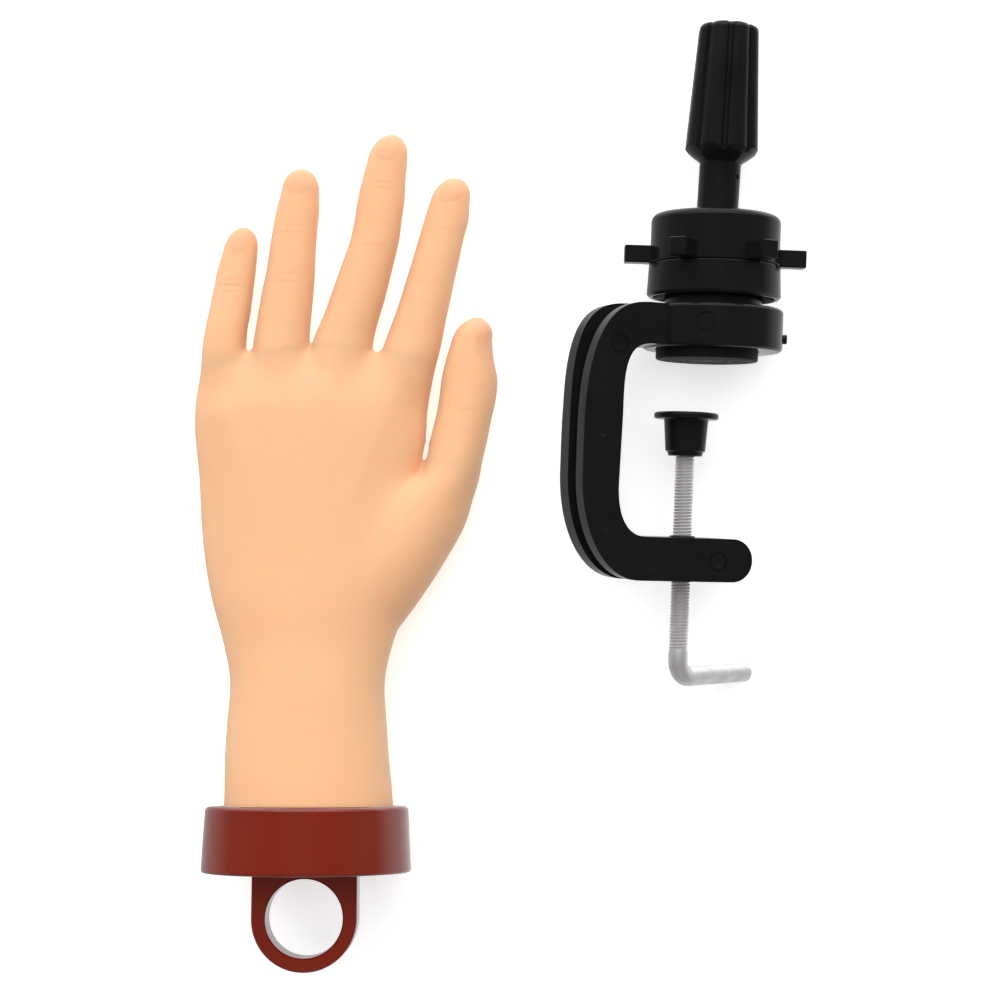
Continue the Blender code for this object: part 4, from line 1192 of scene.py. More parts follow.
@dataclass
class HandSkin:
    """The soft skin: one surface, cut into the palm and five fingers."""

    palm: tuple[Section, ...] = (
        Section(-11.0, -26.6, 26.6, 32.8, 24.6),
        Section(0.0, -25.7, 26.7, 31.2, 24.0),
        Section(14.0, -25.7, 25.4, 29.2, 22.5),
        Section(26.0, -25.3, 24.5, 27.4, 21.0),
        Section(38.7, -24.6, 23.9, 25.8, 19.5),
        Section(51.0, -27.1, 26.6, 24.0, 18.0),
        Section(63.7, -30.9, 31.5, 22.0, 17.8),
        Section(76.0, -33.4, 34.5, 20.2, 17.0),
        Section(89.0, -34.9, 35.5, 18.6, 16.0),
        Section(101.8, -35.7, 34.2, 17.3, 15.0),
        Section(114.6, -37.2, 36.3, 16.0, 13.8),
        Section(127.5, -38.0, 37.4, 14.6, 12.0),
        Section(133.9, -37.1, 38.0, 13.4, 10.2),
        Section(138.5, -36.0, 37.5, 12.2, 7.9),
    )
    end: float = 143.0
    end_taper: float = 0.35
    palm_square: float = 2.25
    finger_square: float = 2.15
    voxel: float = 0.62
    smooth_rounds: int = 14
    melt_rounds: int = 260
    # Where the fingers' roots melt into the palm, as middle and reach, and where that fades out
    roots: Pair = (131.0, 10.0)
    roots_fade: Pair = (42.0, 36.0)
    # The dip between the thumb's ball and the palm: places along and across the hand
    dip: tuple[Triple, Triple] = ((50.0, 80.0, 108.0), (8.0, 20.0, 34.0))
    dip_reach: float = 12.0
    dip_fades: tuple[Pair, Pair] = ((114.0, 102.0), (40.0, 52.0))
    # The walls of the gap beside the thumb keep their shape: middle and reach, across and along
    gap: tuple[Pair, Pair] = ((35.0, 5.0), (108.0, 9.0))
    upper_side: Pair = (9.0, 14.0)
    knuckles: tuple[Pair, ...] = ((-27.5, 124.0), (-11.5, 127.5), (5.5, 129.5), (26.0, 127.0))
    knuckle_size: Pair = (5.0, 5.5)
    knuckle_rise: float = 0.55
    tendon_reach: float = 2.2
    tendon_rise: float = 0.30
    tendon_fades: Pair = (6.0, 1.35)
    relief_band: Pair = (60.0, 145.0)
    relief_level: float = 12.0
    relief_fade: float = 5.0
    wrist_middle: Pair = (-1.0, 60.0)
    # Where the skin is cut: the gaps' ends and their leans, and the ends of the cuts' outer lines
    webs: tuple[Pair, ...] = ((-22.5, 139.8), (-1.7, 145.0), (20.2, 143.8))
    web_leans: Triple = (0.10, 0.09, 0.22)
    left_root: Pair = (-44.0, 138.0)
    right_root: Pair = (48.0, 136.0)
    fingers_from: float = 120.0
    thumb_web: Pair = (35.6, 108.6)
    thumb_lean: float = 0.18
    thumb_root: Pair = (64.0, 102.0)
    thumb_from: float = 30.0
    thumb_spare: float = 2.0
    # Shares of a finger's blend reach, before and after its joint
    blend_shares: Pair = (0.45, 0.6)
    place: Matrix = field(default_factory=table_frame)

    def raw(self) -> Shape:
        """Join the palm and the fingers in one even surface.

        Returns:
            The whole skin without its nails and folds.
        """
        palm = smoothed(self.palm, 2.5)
        last = palm[-1]
        middle = (last.left + last.right) / 2
        rounded_end = domed(last, Vector((middle, self.end, last.height)), 6)
        # The round end stays as wide as the palm, so only its thickness closes
        closing = []
        for k, item in enumerate(rounded_end[:-1]):
            left, right = last.left + self.end_taper * k, last.right - self.end_taper * k
            closing.append(Section(item.along, left, right, item.height, item.depth))
        shapes = [skin_tube([*palm, *closing], self.palm_square)]
        shapes += [skin_tube(digit.sections(), self.finger_square) for digit in (*DIGITS, THUMB)]
        item = to_object("skin", joined(shapes))
        remesh = item.modifiers.new("even", "REMESH")
        remesh.mode = "VOXEL"
        remesh.voxel_size = self.voxel
        relax = item.modifiers.new("relax", "SMOOTH")
        relax.factor = 0.5
        relax.iterations = self.smooth_rounds
        return self.melted(evaluated(item))

    def melted(self, shape: Shape) -> Shape:
        """Melt the fingers' roots and the ball of the thumb into the palm and raise the knuckles.

        Args:
            shape: The whole surface.

        Returns:
            The same surface, softer at the roots and with knuckles and tendons.
        """
        x, y, z = np.array([vert.co for vert in shape.verts]).T
        roots = hump(y, *self.roots, 4) * ramp(x, *self.roots_fade)
        ball = hump(x, np.interp(y, *self.dip), self.dip_reach, 4)
        for fade in self.dip_fades:
            ball *= ramp(y, *fade)
        across, along = self.gap
        ball *= 1.0 - hump(x, *across, 4) * hump(y, *along, 4)
        weights = np.maximum(roots, ball) * ramp(z, *self.upper_side)
        item = to_object("skin", shape)
        group = item.vertex_groups.new(name="melt")
        steps = np.round(weights * 10).astype(int)
        for step in range(1, 11):
            members = [int(index) for index in np.flatnonzero(steps == step)]
            group.add(members, step / 10, "REPLACE")
        melt = item.modifiers.new("melt", "SMOOTH")
        melt.factor = 0.5
        melt.iterations = self.melt_rounds
        melt.vertex_group = "melt"
        soft = evaluated(item)
        start, end = self.relief_band
        for vert in soft.verts:
            above = vert.co.z - self.relief_level
            if above > 0.0 and start < vert.co.y < end:
                vert.co.z += self.relief(vert.co.x, vert.co.y) * min(1.0, above / self.relief_fade)
        return soft

    def relief(self, x: float, y: float) -> float:
        """Say how much the knuckles and the tendons raise the back of the hand.

        Args:
            x: Place across the hand.
            y: Place along it.

        Returns:
            The rise in millimetres.
        """
        rise = 0.0
        wide, long = self.knuckle_size
        rising, falling = self.tendon_fades
        for knuckle_x, knuckle_y in self.knuckles:
            bump = ((x - knuckle_x) / wide) ** 2 + ((y - knuckle_y) / long) ** 2
            rise += self.knuckle_rise * math.exp(-bump)
            share = (knuckle_y - y) / (knuckle_y - self.wrist_middle[1])
            line = knuckle_x + (self.wrist_middle[0] - knuckle_x) * share
            fade = max(0.0, min(1.0, share * rising)) * max(0.0, 1.0 - share * falling)
            rise += self.tendon_rise * fade * math.exp(-(((x - line) / self.tendon_reach) ** 2))
        return rise

    def label(self, x: float, y: float) -> int:
        """Say which piece a point belongs to.

        Args:
            x: Place across the hand.
            y: Place along it.

        Returns:
            0 for the palm, 1 to 4 for the fingers from the little one on, and 5 for the thumb.
        """

        def beyond(first: Pair, second: Pair) -> bool:
            """Whether the point lies on the fingers' side of a line."""
            dx, dy = second[0] - first[0], second[1] - first[1]
            return dx * (y - first[1]) - dy * (x - first[0]) > 0

        def right_of(web: Pair, lean: float) -> bool:
            """Whether the point lies right of a gap, which leans as the fingers beside it do."""
            return x > web[0] + (y - web[1]) * lean

        beside_thumb = x > self.thumb_from and y < THUMB.tip[1] + self.thumb_spare
        over_web = right_of(self.thumb_web, self.thumb_lean)
        if beside_thumb and over_web and beyond(self.thumb_web, self.thumb_root):
            return len(DIGITS) + 1
        line = [self.left_root, *self.webs, self.right_root]
        column = sum(right_of(web, lean) for web, lean in zip(self.webs, self.web_leans))
        if y > self.fingers_from and beyond(line[column], line[column + 1]):
            return column + 1
        return 0

    def pieces(self) -> list[Shape]:
        """Cut the surface into its pieces.

        Returns:
            The shapes of the palm, the four fingers and the thumb.
        """
        whole = self.raw()
        self.whole_points = [vert.co.copy() for vert in whole.verts]
        whole.normal_update()
        self.whole_normals = [vert.normal.copy() for vert in whole.verts]
        middles = [face.calc_center_median() for face in whole.faces]
        labels = [self.label(middle.x, middle.y) for middle in middles]
        found = []
        for number in range(len(DIGITS) + 2):
            part = whole.copy()
            others = [face for face in part.faces if labels[face.index] != number]
            bmesh.ops.delete(part, geom=others, context="FACES")
            found.append(part)
        whole.free()
        return found

    def dress(self, materials: Materials) -> None:
        """Make the palm and the fingers.

        Args:
            materials: The material of each slot.
        """
        shapes = self.pieces()
        tree = KDTree(len(self.whole_points))
        for index, point in enumerate(self.whole_points):
            tree.insert(point, index)
        tree.balance()
        for shape, digit in zip(shapes, (None, *DIGITS, THUMB)):
            if digit:
                bmesh.ops.subdivide_edges(shape, edges=shape.edges, cuts=1, use_grid_fill=True)
            masks = self.detail(shape, digit)
            normals = self.matched_normals(shape, tree)
            name = digit.body.value + "_skin" if digit else "palm"
            node = digit.node if digit else "palm_skin"
            body = digit.body if digit else Body.HAND
            fitting = Fitting(name, body, Slot.SKIN, (node,), ALL_SMOOTH)
            item = shown(shape, self.place, fitting, materials)
            for label, values in masks.items():
                layer = item.data.attributes.new(label, "FLOAT", "POINT")
                layer.data.foreach_set("value", values)
            item.data.normals_split_custom_set_from_vertices(normals)
            # The plastics beside the hand mirror the room, not the skin
            item.visible_glossy = False
            if digit:
                self.bend(item, digit)
            else:
                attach(item, body.value)

    def bend(self, item: Item, digit: Digit) -> None:
        """Lay a finger's skin in world space; the blend across its joint is worked out but not used.

        Args:
            item: The skin's piece.
            digit: The finger.
        """
        root = hinge(digit.joint)
        ahead = (self.place @ Vector(digit.tip) - root).normalized()
        before, after = (ahead * digit.blend_reach * share * MM for share in self.blend_shares)
        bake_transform(item)

    def matched_normals(self, shape: Shape, tree: KDTree) -> list[Vector]:
        """Give each point its normal, taken from the whole surface along the cuts.

        Args:
            shape: The piece.
            tree: The points of the whole surface.

        Returns:
            The normals in the order of the points.
        """
        shape.normal_update()
        found = []
        for vert in shape.verts:
            normal = vert.normal.copy()
            if vert.is_boundary:
                near = tree.find_n(vert.co, 2)
                # A halved edge's new point lies between two old ones and takes a share of both
                close, far = (1e-6 + distance for _, _, distance in near)
                first, second = (self.whole_normals[index] for _, index, _ in near)
                normal = (first * far + second * close).normalized()
            found.append(normal)
        return found

    def detail(self, shape: Shape, digit: Digit | None) -> dict[str, Row]:
        """Press the nail and the folds into a piece.

        Args:
            shape: The piece, which is changed.
            digit: The finger, or None for the palm.

        Returns:
            The masks for the material, by name.
        """
        shape.normal_update()
        points = np.array([vert.co for vert in shape.verts])
        normals = np.array([vert.normal for vert in shape.verts])
        if digit is None:
            empty = np.zeros(len(points), np.float32)
            return {"crease": empty, "nail": empty}
        side = points[:, 0] - digit.middle(points[:, 1])
        away = digit.tip[1] - points[:, 1]
        fold_push, crease = self.folds(digit, side, away, normals[:, 2])
        nail_push, plate, groove = self.nail(digit, side, away, points[:, 2], normals)
        for vert, amount in zip(shape.verts, fold_push + nail_push):
            vert.co += vert.normal * float(amount)
        # The grooves round the nails get a tenth of the folds' painted shade
        crease = np.maximum(crease, groove * 0.10)
        return {"crease": crease.astype(np.float32), "nail": plate.astype(np.float32)}

    def folds(
        self, digit: Digit, side: Row, away: Row, upward: Row
    ) -> tuple[Row, Row]:
        """Work out the folds across a finger's back.

        Args:
            digit: The finger.
            side: Each point's distance from the finger's middle line.
            away: Its distance from the tip.
            upward: How far its normal points up.

        Returns:
            How far each point is pushed, and the mask of the painted shade in the folds.
        """
        half_width, full_depth = 0.42, 0.40
        push = np.zeros(len(side))
        mask = np.zeros(len(side))
        for fold in digit.creases:
            line = hump(away, fold.distance, half_width)
            # Full in the middle, fading out to the sides
            reach = np.clip(1.6 - np.abs(side) / fold.reach * 1.2, 0.0, 1.0)
            pressed = line * reach * np.clip(upward * 2.0, 0.0, 1.0)
            push -= fold.depth * pressed
            # The deeper the fold, the darker its painted shade
            mask = np.maximum(mask, pressed * fold.depth / full_depth)
        return push, mask

    def nail(
        self, digit: Digit, side: Row, away: Row, level: Row, normals: Row
    ) -> tuple[Row, Row, Row]:
        """Work out the nail of a finger.

        Args:
            digit: The finger.
            side: Each point's distance from the finger's middle line.
            away: Its distance from the tip.
            level: Its height over the table.
            normals: Its normal.

        Returns:
            How far each point is pushed, and the masks of the plate and of the groove round it.
        """
        rise, groove_depth, plate_edge, flat_edge = 0.04, 0.06, 0.12, 0.7
        turn = math.radians(digit.nail.turn)
        facing = normals[:, 2] * math.cos(turn) - normals[:, 0] * math.sin(turn)
        # The finger's middle rises by 6 mm over 60 mm from its tip
        height = level - np.interp(away, [0.0, 60.0], [digit.tip[2], digit.tip[2] + 6.0])
        across = np.abs(side * math.cos(turn) + height * math.sin(turn)) / (digit.nail.width / 2)
        # The nail is widest at 0.45 of its length and closes in a squared oval behind that
        back = np.clip(away / digit.nail.length - 0.45, 0.0, None) / 0.55
        inside = np.sqrt(across**3.2 + back**2.6)
        upper = np.clip((facing - 0.15) * 4.0, 0.0, 1.0)
        plate = np.clip((1.0 - inside) / plate_edge, 0.0, 1.0) * upper
        groove = hump(inside, 1.04, 0.07) * upper
        flat = np.clip((1.0 - inside) / flat_edge, 0.0, 1.0)
        flattened = digit.nail.flat * flat**2 * (3.0 - 2.0 * flat) * upper
        return rise * plate - groove_depth * groove - flattened, plate, groove


@dataclass
class BaseCap(RigidAssembly):
    """The glossy cap, its ring lug and the two screws in its back."""

    rim_radius: float = 31.5
    back_radius: float = 32.5
    length: float = 20.2
    recess_radius: float = 27.3
    floor: float = 7.5
    rim_rounding: float = 1.5
    back_rounding: float = 0.9
    lug_width: float = 32.5
    lug_thickness: float = 12.5
    lug_reach: float = 34.0
    lug_rounding: float = 0.9
    hole_radius: float = 11.9
    hole_edge: float = 0.5
    screw_offset: float = 12.8
    screw_head: float = 3.5
    screw_shank: float = 1.75
    screw_sunk: float = 0.3
    seat_depth: float = 3.0
    cross_sizes: tuple[Triple, Triple] = ((4.2, 2.6, 0.9), (0.9, 2.6, 4.2))
    place: Matrix = field(default_factory=hand_frame)

    def cap(self) -> Shape:
        """Turn the cap with its recess and bore the seats of its screws.

        Returns:
            The cap.
        """
        recess = self.length - self.floor
        corners = [
            (0.0, -recess, 0.0),
            (self.recess_radius, -recess, 0.8),
            (self.recess_radius, 0.0, 0.5),
            (self.rim_radius, 0.0, self.rim_rounding),
            (self.back_radius, -self.length, self.back_rounding),
            (0.0, -self.length, 0.0),
        ]
        seats = []
        for sign in (1, -1):
            z = sign * self.screw_offset
            low = Vector((0.0, -self.length - 1.0, z))
            high = Vector((0.0, -self.length + self.seat_depth, z))
            seats.append((Cut.AWAY, rod(low, high, self.screw_head + 0.3)))
        return combined(turned(corners, 160, 6), seats)

    def lug(self) -> Shape:
        """Make the plate with its ring, rounded along all its edges.

        Returns:
            The lug.
        """
        half = self.lug_width / 2
        root = -(self.length - self.floor) - 2.0
        arc = [
            (-half * math.cos(turn), -self.lug_reach - half * math.sin(turn))
            for turn in np.linspace(0.0, math.pi, 65)
        ]
        z = self.lug_thickness / 2
        plate = prism([(-half, root), *arc, (half, root)], -z, z)
        soften(plate, both_rims(plate, z), self.lug_rounding)
        # The bore's cutter flares beyond both faces, which leaves a sloping edge round the hole
        flared = self.hole_radius + self.hole_edge + 1.0
        bore = rounded(
            [
                (0.0, z + 1.0, 0.0),
                (flared, z + 1.0, 0.0),
                (self.hole_radius, z - self.hole_edge, 0.4),
                (self.hole_radius, self.hole_edge - z, 0.4),
                (flared, -z - 1.0, 0.0),
                (0.0, -z - 1.0, 0.0),
            ],
            4,
        )
        middle = Matrix.Translation((0.0, -self.lug_reach, 0.0))
        return combined(plate, [(Cut.AWAY, moved(lathe(bore[::-1], 128), middle @ UPRIGHT))])

    def screw(self, sign: int) -> Shape:
        """Make one screw head with its cross recess.

        Args:
            sign: 1 for the upper screw and -1 for the lower one.

        Returns:
            The screw.
        """
        z = sign * self.screw_offset
        face = -self.length + self.screw_sunk
        head_end, shank_end = face + 2.4, face + 14.0
        corners = [
            (0.0, face, 0.0),
            (self.screw_head, face, 0.6),
            (self.screw_head, head_end, 0.0),
            (self.screw_shank, head_end, 0.0),
            (self.screw_shank, shank_end, 0.0),
            (0.0, shank_end, 0.0),
        ]
        shape = moved(turned(corners, 48), Matrix.Translation((0.0, 0.0, z)))
        middle = Vector((0.0, face, z))
        cross = [(Cut.AWAY, block(Vector(size), middle, 0.2)) for size in self.cross_sizes]
        return combined(shape, cross)

    def pieces(self) -> Iterator[tuple[Fitting, Shape]]:
        """Give the cap, the lug and the screws."""
        yield Fitting("cap", Body.HAND, Slot.CAP, ("base_cap",)), self.cap()
        yield Fitting("hanging_ring", Body.HAND, Slot.CAP, ("ring_lug",)), self.lug()
        for sign, node in ((1, "cap_screw_upper"), (-1, "cap_screw_lower")):
            yield Fitting(node + "_head", Body.HAND, Slot.STEEL, (node,)), self.screw(sign)


# The clamp


def squared_quarter(centre: Pair, reach: Pair, power: float) -> Outline:
    """Find the points of a quarter of a squared oval.

    Args:
        centre: The oval's middle.
        reach: Its signed reach in X and in Y.
        power: 2 for an oval, more for a squarer corner.

    Returns:
        The points from the end on the Y side to the end on the X side.
    """
    line = []
    for turn in np.linspace(0.0, math.pi / 2, 29):
        across = abs(math.sin(turn)) ** (2 / power)
        along = abs(math.cos(turn)) ** (2 / power)
        line.append((centre[0] + reach[0] * across, centre[1] + reach[1] * along))
    return line


@dataclass(frozen=True)
class Mark:
    """A round mark in the frame's front: its middle, its radius and its depth."""

    x: float
    y: float
    radius: float
    depth: float = 0.5


@dataclass
class JawFrame(RigidAssembly):
    """The C-shaped frame with its head disc, its pad and the threaded insert."""

    jaw: float = 66.0
    reach: float = 46.5
    spine: float = 12.1
    arm: float = 12.4
    arm_top: float = 7.3
    arm_end: float = 5.4
    depth: float = 18.0
    # Middles and powers of the squared corners, low and high
    outer_corners: tuple[Pair, Pair] = ((-26.3, 26.9), (-25.5, 36.0))
    outer_powers: Pair = (2.1, 2.6)
    inner_corners: tuple[Pair, Pair] = ((-24.0, 24.0), (-22.5, 45.0))
    inner_powers: Pair = (2.5, 3.4)
    throat_lean: float = 0.6
    inner_rounding: float = 2.2
    outer_rounding: float = 0.6
    disc_radius: float = 22.0
    disc_height: float = 13.4
    disc_rounding: float = 1.5
    boss_radius: float = 15.25
    boss_height: float = 4.1
    pad_radius: float = 16.0
    pad_offset: float = 1.65
    pad_proud: float = 3.1
    pad_gap: float = 0.3
    pad_rings: Triple = (12.6, 9.4, 6.2)
    front_flange: float = 5.4
    back_flange: float = 6.5
    channel_depth: float = 4.5
    channel_end: float = 22.0
    mouth_rounding: float = 0.35
    # The back flange's squarer corner; the inset keeps its faces off the plate's
    corner_rise: float = 0.35
    corner_power: float = 3.3
    corner_band: float = 7.0
    corner_end: float = 17.0
    corner_inset: float = 0.03
    screw_offset: float = 8.0
    screw_hole: float = 4.8
    insert_bore: float = 3.25
    insert_radius: float = 4.6
    collar_radius: float = 4.0
    collar_rise: float = 0.5
    disc_mark: Mark = Mark(0.0, 73.3, 2.8)
    disc_mark_turn: float = -32.3
    nub_level: float = 70.5
    nub_turn: float = 21.0
    nub_radius: float = 1.5
    nub_proud: float = 1.4
    ring_marks: tuple[Mark, ...] = (Mark(-35.7, 65.8, 2.7), Mark(0.2, 0.1, 2.85))
    dimples: tuple[Mark, ...] = (
        Mark(0.2, 0.1, 1.7, 0.35),
        Mark(-38.0, 11.4, 2.6, 0.4),
        Mark(-40.3, 38.6, 1.3, 0.25),
        Mark(-23.0, -2.2, 0.5, 0.15),
    )
    step: float = 0.4

    @property
    def top(self) -> float:
        """Level of the upper arm's upper side."""
        return self.jaw + self.disc_height - self.step

    def outer(self) -> Outline:
        """Draw the outer edge.

        Returns:
            The points from the lower arm round the spine to the head.
        """
        lower, upper = self.outer_corners
        low_reach = (-(self.reach + lower[0]), -(lower[1] + self.arm / 2))
        high_reach = (-(self.reach + upper[0]), self.top - upper[1])
        low = squared_quarter(lower, low_reach, self.outer_powers[0])
        high = squared_quarter(upper, high_reach, self.outer_powers[1])
        return low + high[::-1]

    def inner(self) -> Outline:
        """Draw the inner edge.

        Returns:
            The points from the head round the throat to the lower arm.
        """
        throat = -(self.reach - self.spine)
        lower, upper = self.inner_corners
        low_reach = (throat - lower[0], self.arm_top - lower[1])
        high_reach = (throat - upper[0] + self.throat_lean, self.jaw + self.step - upper[1])
        low = squared_quarter(lower, low_reach, self.inner_powers[0])
        high = squared_quarter(upper, high_reach, self.inner_powers[1])
        return high + low[::-1][1:]

    def channel(self) -> Shape:
        """Make the band that is cut along the outer edge between the two flanges.

        Returns:
            The shape to cut away.
        """
        spare = 2.0
        path = [(-self.channel_end, -self.arm / 2), *self.outer(), (-self.channel_end, self.top)]
        inside, outside = [], []
        for index, point in enumerate(path):
            here = Vector(point)
            before = Vector(path[max(index - 1, 0)])
            after = Vector(path[min(index + 1, len(path) - 1)])
            along = (after - before).normalized()
            outward = Vector((-along.y, along.x))
            inside.append(tuple(here - outward * self.channel_depth))
            outside.append(tuple(here + outward * spare))
        low = self.back_flange - self.depth / 2
        high = self.depth / 2 - self.front_flange
        return prism([*inside, *reversed(outside)], low, high)

    def body(self) -> Shape:
        """Make the frame's plate, rounded more along its inner edge than along its outer one.

        Returns:
            The plate.
        """
        half = (self.arm_top + self.arm / 2) / 2
        middle = (self.arm_top - self.arm / 2) / 2
        end = [
            (self.arm_end + half * math.cos(turn), middle + half * math.sin(turn))
            for turn in np.linspace(math.pi / 2, -math.pi / 2, 33)
        ]
        outer = self.outer()
        head = [(0.0, self.top), (0.0, self.jaw + self.step)]
        z = self.depth / 2
        plate = prism([*outer, *head, *self.inner(), *end], -z, z)
        outside = {(round(u, 3), round(v, 3)) for u, v in outer}

        def on_outside(edge: bmesh.types.BMEdge) -> bool:
            """Whether an edge is one of the outer edge's."""
            return all((round(v.co.x, 3), round(v.co.y, 3)) in outside for v in edge.verts)

        inner_edges = [edge for edge in both_rims(plate, z) if not on_outside(edge)]
        soften(plate, inner_edges, self.inner_rounding, 5)
        outer_edges = [edge for edge in both_rims(plate, z) if on_outside(edge)]
        soften(plate, outer_edges, self.outer_rounding, 3)
        return plate

    def corner(self) -> Shape:
        """Make the squarer corner that the back flange has beside the head.

        Returns:
            The corner's band.
        """
        middle, power = self.outer_corners[1], self.outer_powers[1]
        top = self.top + self.corner_rise
        across = self.corner_inset - (self.reach + middle[0])
        up = top - middle[1]
        band = self.corner_band
        outer_line = squared_quarter(middle, (across, up), self.corner_power)
        inner_line = squared_quarter(middle, (across + band, up - band), power)
        ends = [(-self.corner_end, top - band), (-self.corner_end, top)]
        z = self.depth / 2 - self.corner_inset
        edge = [*outer_line, *reversed(inner_line), *ends]
        plate = prism(edge, -z, self.back_flange - self.depth / 2 - self.corner_inset)
        soften(plate, rim_edges(plate, -z), self.outer_rounding, 3)
        return plate

    def head(self) -> Shape:
        """Turn the disc with the boss that the cup turns on.

        Returns:
            The disc.
        """
        disc_top = self.jaw + self.disc_height
        boss_top = disc_top + self.boss_height
        corners = [
            (0.0, self.jaw, 0.0),
            (self.disc_radius, self.jaw, self.disc_rounding),
            (self.disc_radius, disc_top, self.disc_rounding),
            (self.boss_radius, disc_top, 0.4),
            (self.boss_radius, boss_top, 0.3),
            (0.0, boss_top, 0.0),
        ]
        return turned(corners, 144)

    def ring_mark(self, mark: Mark, level: float) -> Shape:
        """Make a shallow round groove, as an ejector pin leaves it.

        Args:
            mark: The groove's middle line and depth.
            level: Level of the surface that it lies in.

        Returns:
            The shape to cut away.
        """
        inside, outside = mark.radius - 0.25, mark.radius + 0.25
        low, high = -mark.depth, mark.depth
        profile = [(inside, low), (outside, low), (outside, high), (inside, high)]
        shape = lathe(profile, 40, closed=True)
        return moved(shape, Matrix.Translation((mark.x, mark.y, level)) @ UPRIGHT)

    def dimple(self, mark: Mark) -> Shape:
        """Make a shallow hollow in the front.

        Args:
            mark: The hollow.

        Returns:
            The shape to cut away.
        """
        reach = (mark.radius**2 + mark.depth**2) / (2 * mark.depth)
        shape = bmesh.new()
        bmesh.ops.create_uvsphere(shape, u_segments=48, v_segments=96, radius=reach)
        level = self.depth / 2 + reach - mark.depth
        return moved(shape, Matrix.Translation((mark.x, mark.y, level)))

    def frame(self) -> Shape:
        """Make the whole frame with its channel, head, seats and marks.

        Returns:
            The frame.
        """
        face = self.depth / 2
        seat_low = Vector((-self.pad_offset, self.jaw - 2.0, 0.0))
        seat_high = Vector((-self.pad_offset, self.jaw + 1.0, 0.0))
        hole_low = Vector((-self.screw_offset, -self.arm, 0.0))
        hole_high = Vector((-self.screw_offset, self.arm, 0.0))
        disc_mark = self.ring_mark(self.disc_mark, self.disc_radius - 0.1)
        mark_turn = Matrix.Rotation(math.radians(self.disc_mark_turn), 4, "Y")
        turn = math.radians(self.nub_turn)
        nub = Vector((math.cos(turn), 0.0, math.sin(turn)))
        nub_up = Vector((0.0, self.nub_level, 0.0))
        nub_start = nub * (self.disc_radius - 2.0) + nub_up
        nub_end = nub * (self.disc_radius + self.nub_proud) + nub_up
        tools = [
            (Cut.AWAY, self.channel()),
            (Cut.ADD, self.head()),
            (Cut.AWAY, rod(seat_low, seat_high, self.pad_radius + self.pad_gap, 96)),
            (Cut.AWAY, rod(hole_low, hole_high, self.screw_hole, 64)),
            (Cut.AWAY, moved(disc_mark, mark_turn)),
            (Cut.ADD, rod(nub_start, nub_end, self.nub_radius, 24)),
            (Cut.ADD, self.corner()),
            *((Cut.AWAY, self.ring_mark(mark, face)) for mark in self.ring_marks),
            *((Cut.AWAY, self.dimple(mark)) for mark in self.dimples),
        ]
        shape = combined(self.body(), tools)
        mouths = []
        for level in (self.back_flange - face, face - self.front_flange):
            rim = rim_edges(shape, level)
            mouths += [edge for edge in rim if edge.is_convex and edge.is_manifold]
        soften(shape, mouths, self.mouth_rounding, 2)
        return shape

    def pad(self) -> Shape:
        """Turn the round pad under the disc, with a rounded edge and fine grooves in rings.

        Returns:
            The pad.
        """
        face = self.jaw - self.pad_proud
        floor = face + 0.3
        grooves = []
        for radius in sorted(self.pad_rings):
            sides = ((-0.4, face), (-0.2, floor), (0.2, floor), (0.4, face))
            grooves += [(radius + aside, height, 0.0) for aside, height in sides]
        corners = [
            (0.0, face, 0.0),
            *grooves,
            (self.pad_radius, face, 0.6),
            (self.pad_radius, self.jaw + 0.7, 0.0),
            (0.0, self.jaw + 0.7, 0.0),
        ]
        return moved(turned(corners, 112), Matrix.Translation((-self.pad_offset, 0.0, 0.0)))

    def insert(self) -> Shape:
        """Turn the threaded insert with its collar above the arm.

        Returns:
            The insert.
        """
        low = 0.3 - self.arm / 2
        shoulder = self.arm_top - 0.4
        collar_top = self.arm_top + self.collar_rise
        corners = [
            (self.insert_bore, low, 0.3),
            (self.insert_radius, low, 0.3),
            (self.insert_radius, shoulder, 0.0),
            (self.collar_radius, shoulder, 0.0),
            (self.collar_radius, collar_top, 0.3),
            (self.insert_bore, collar_top, 0.2),
        ]
        shape = turned(corners, 64, 3, closed=True)
        return moved(shape, Matrix.Translation((-self.screw_offset, 0.0, 0.0)))

    def pieces(self) -> Iterator[tuple[Fitting, Shape]]:
        """Give the frame, the pad and the insert."""
        yield Fitting("jaw_frame", Body.CLAMP, Slot.BLACK, ("clamp_frame",)), self.frame()
        yield Fitting("pressing_pad", Body.CLAMP, Slot.PAD, ("jaw_pad",)), self.pad()
        yield Fitting("thread_insert", Body.CLAMP, Slot.DARK, ("arm_insert",)), self.insert()


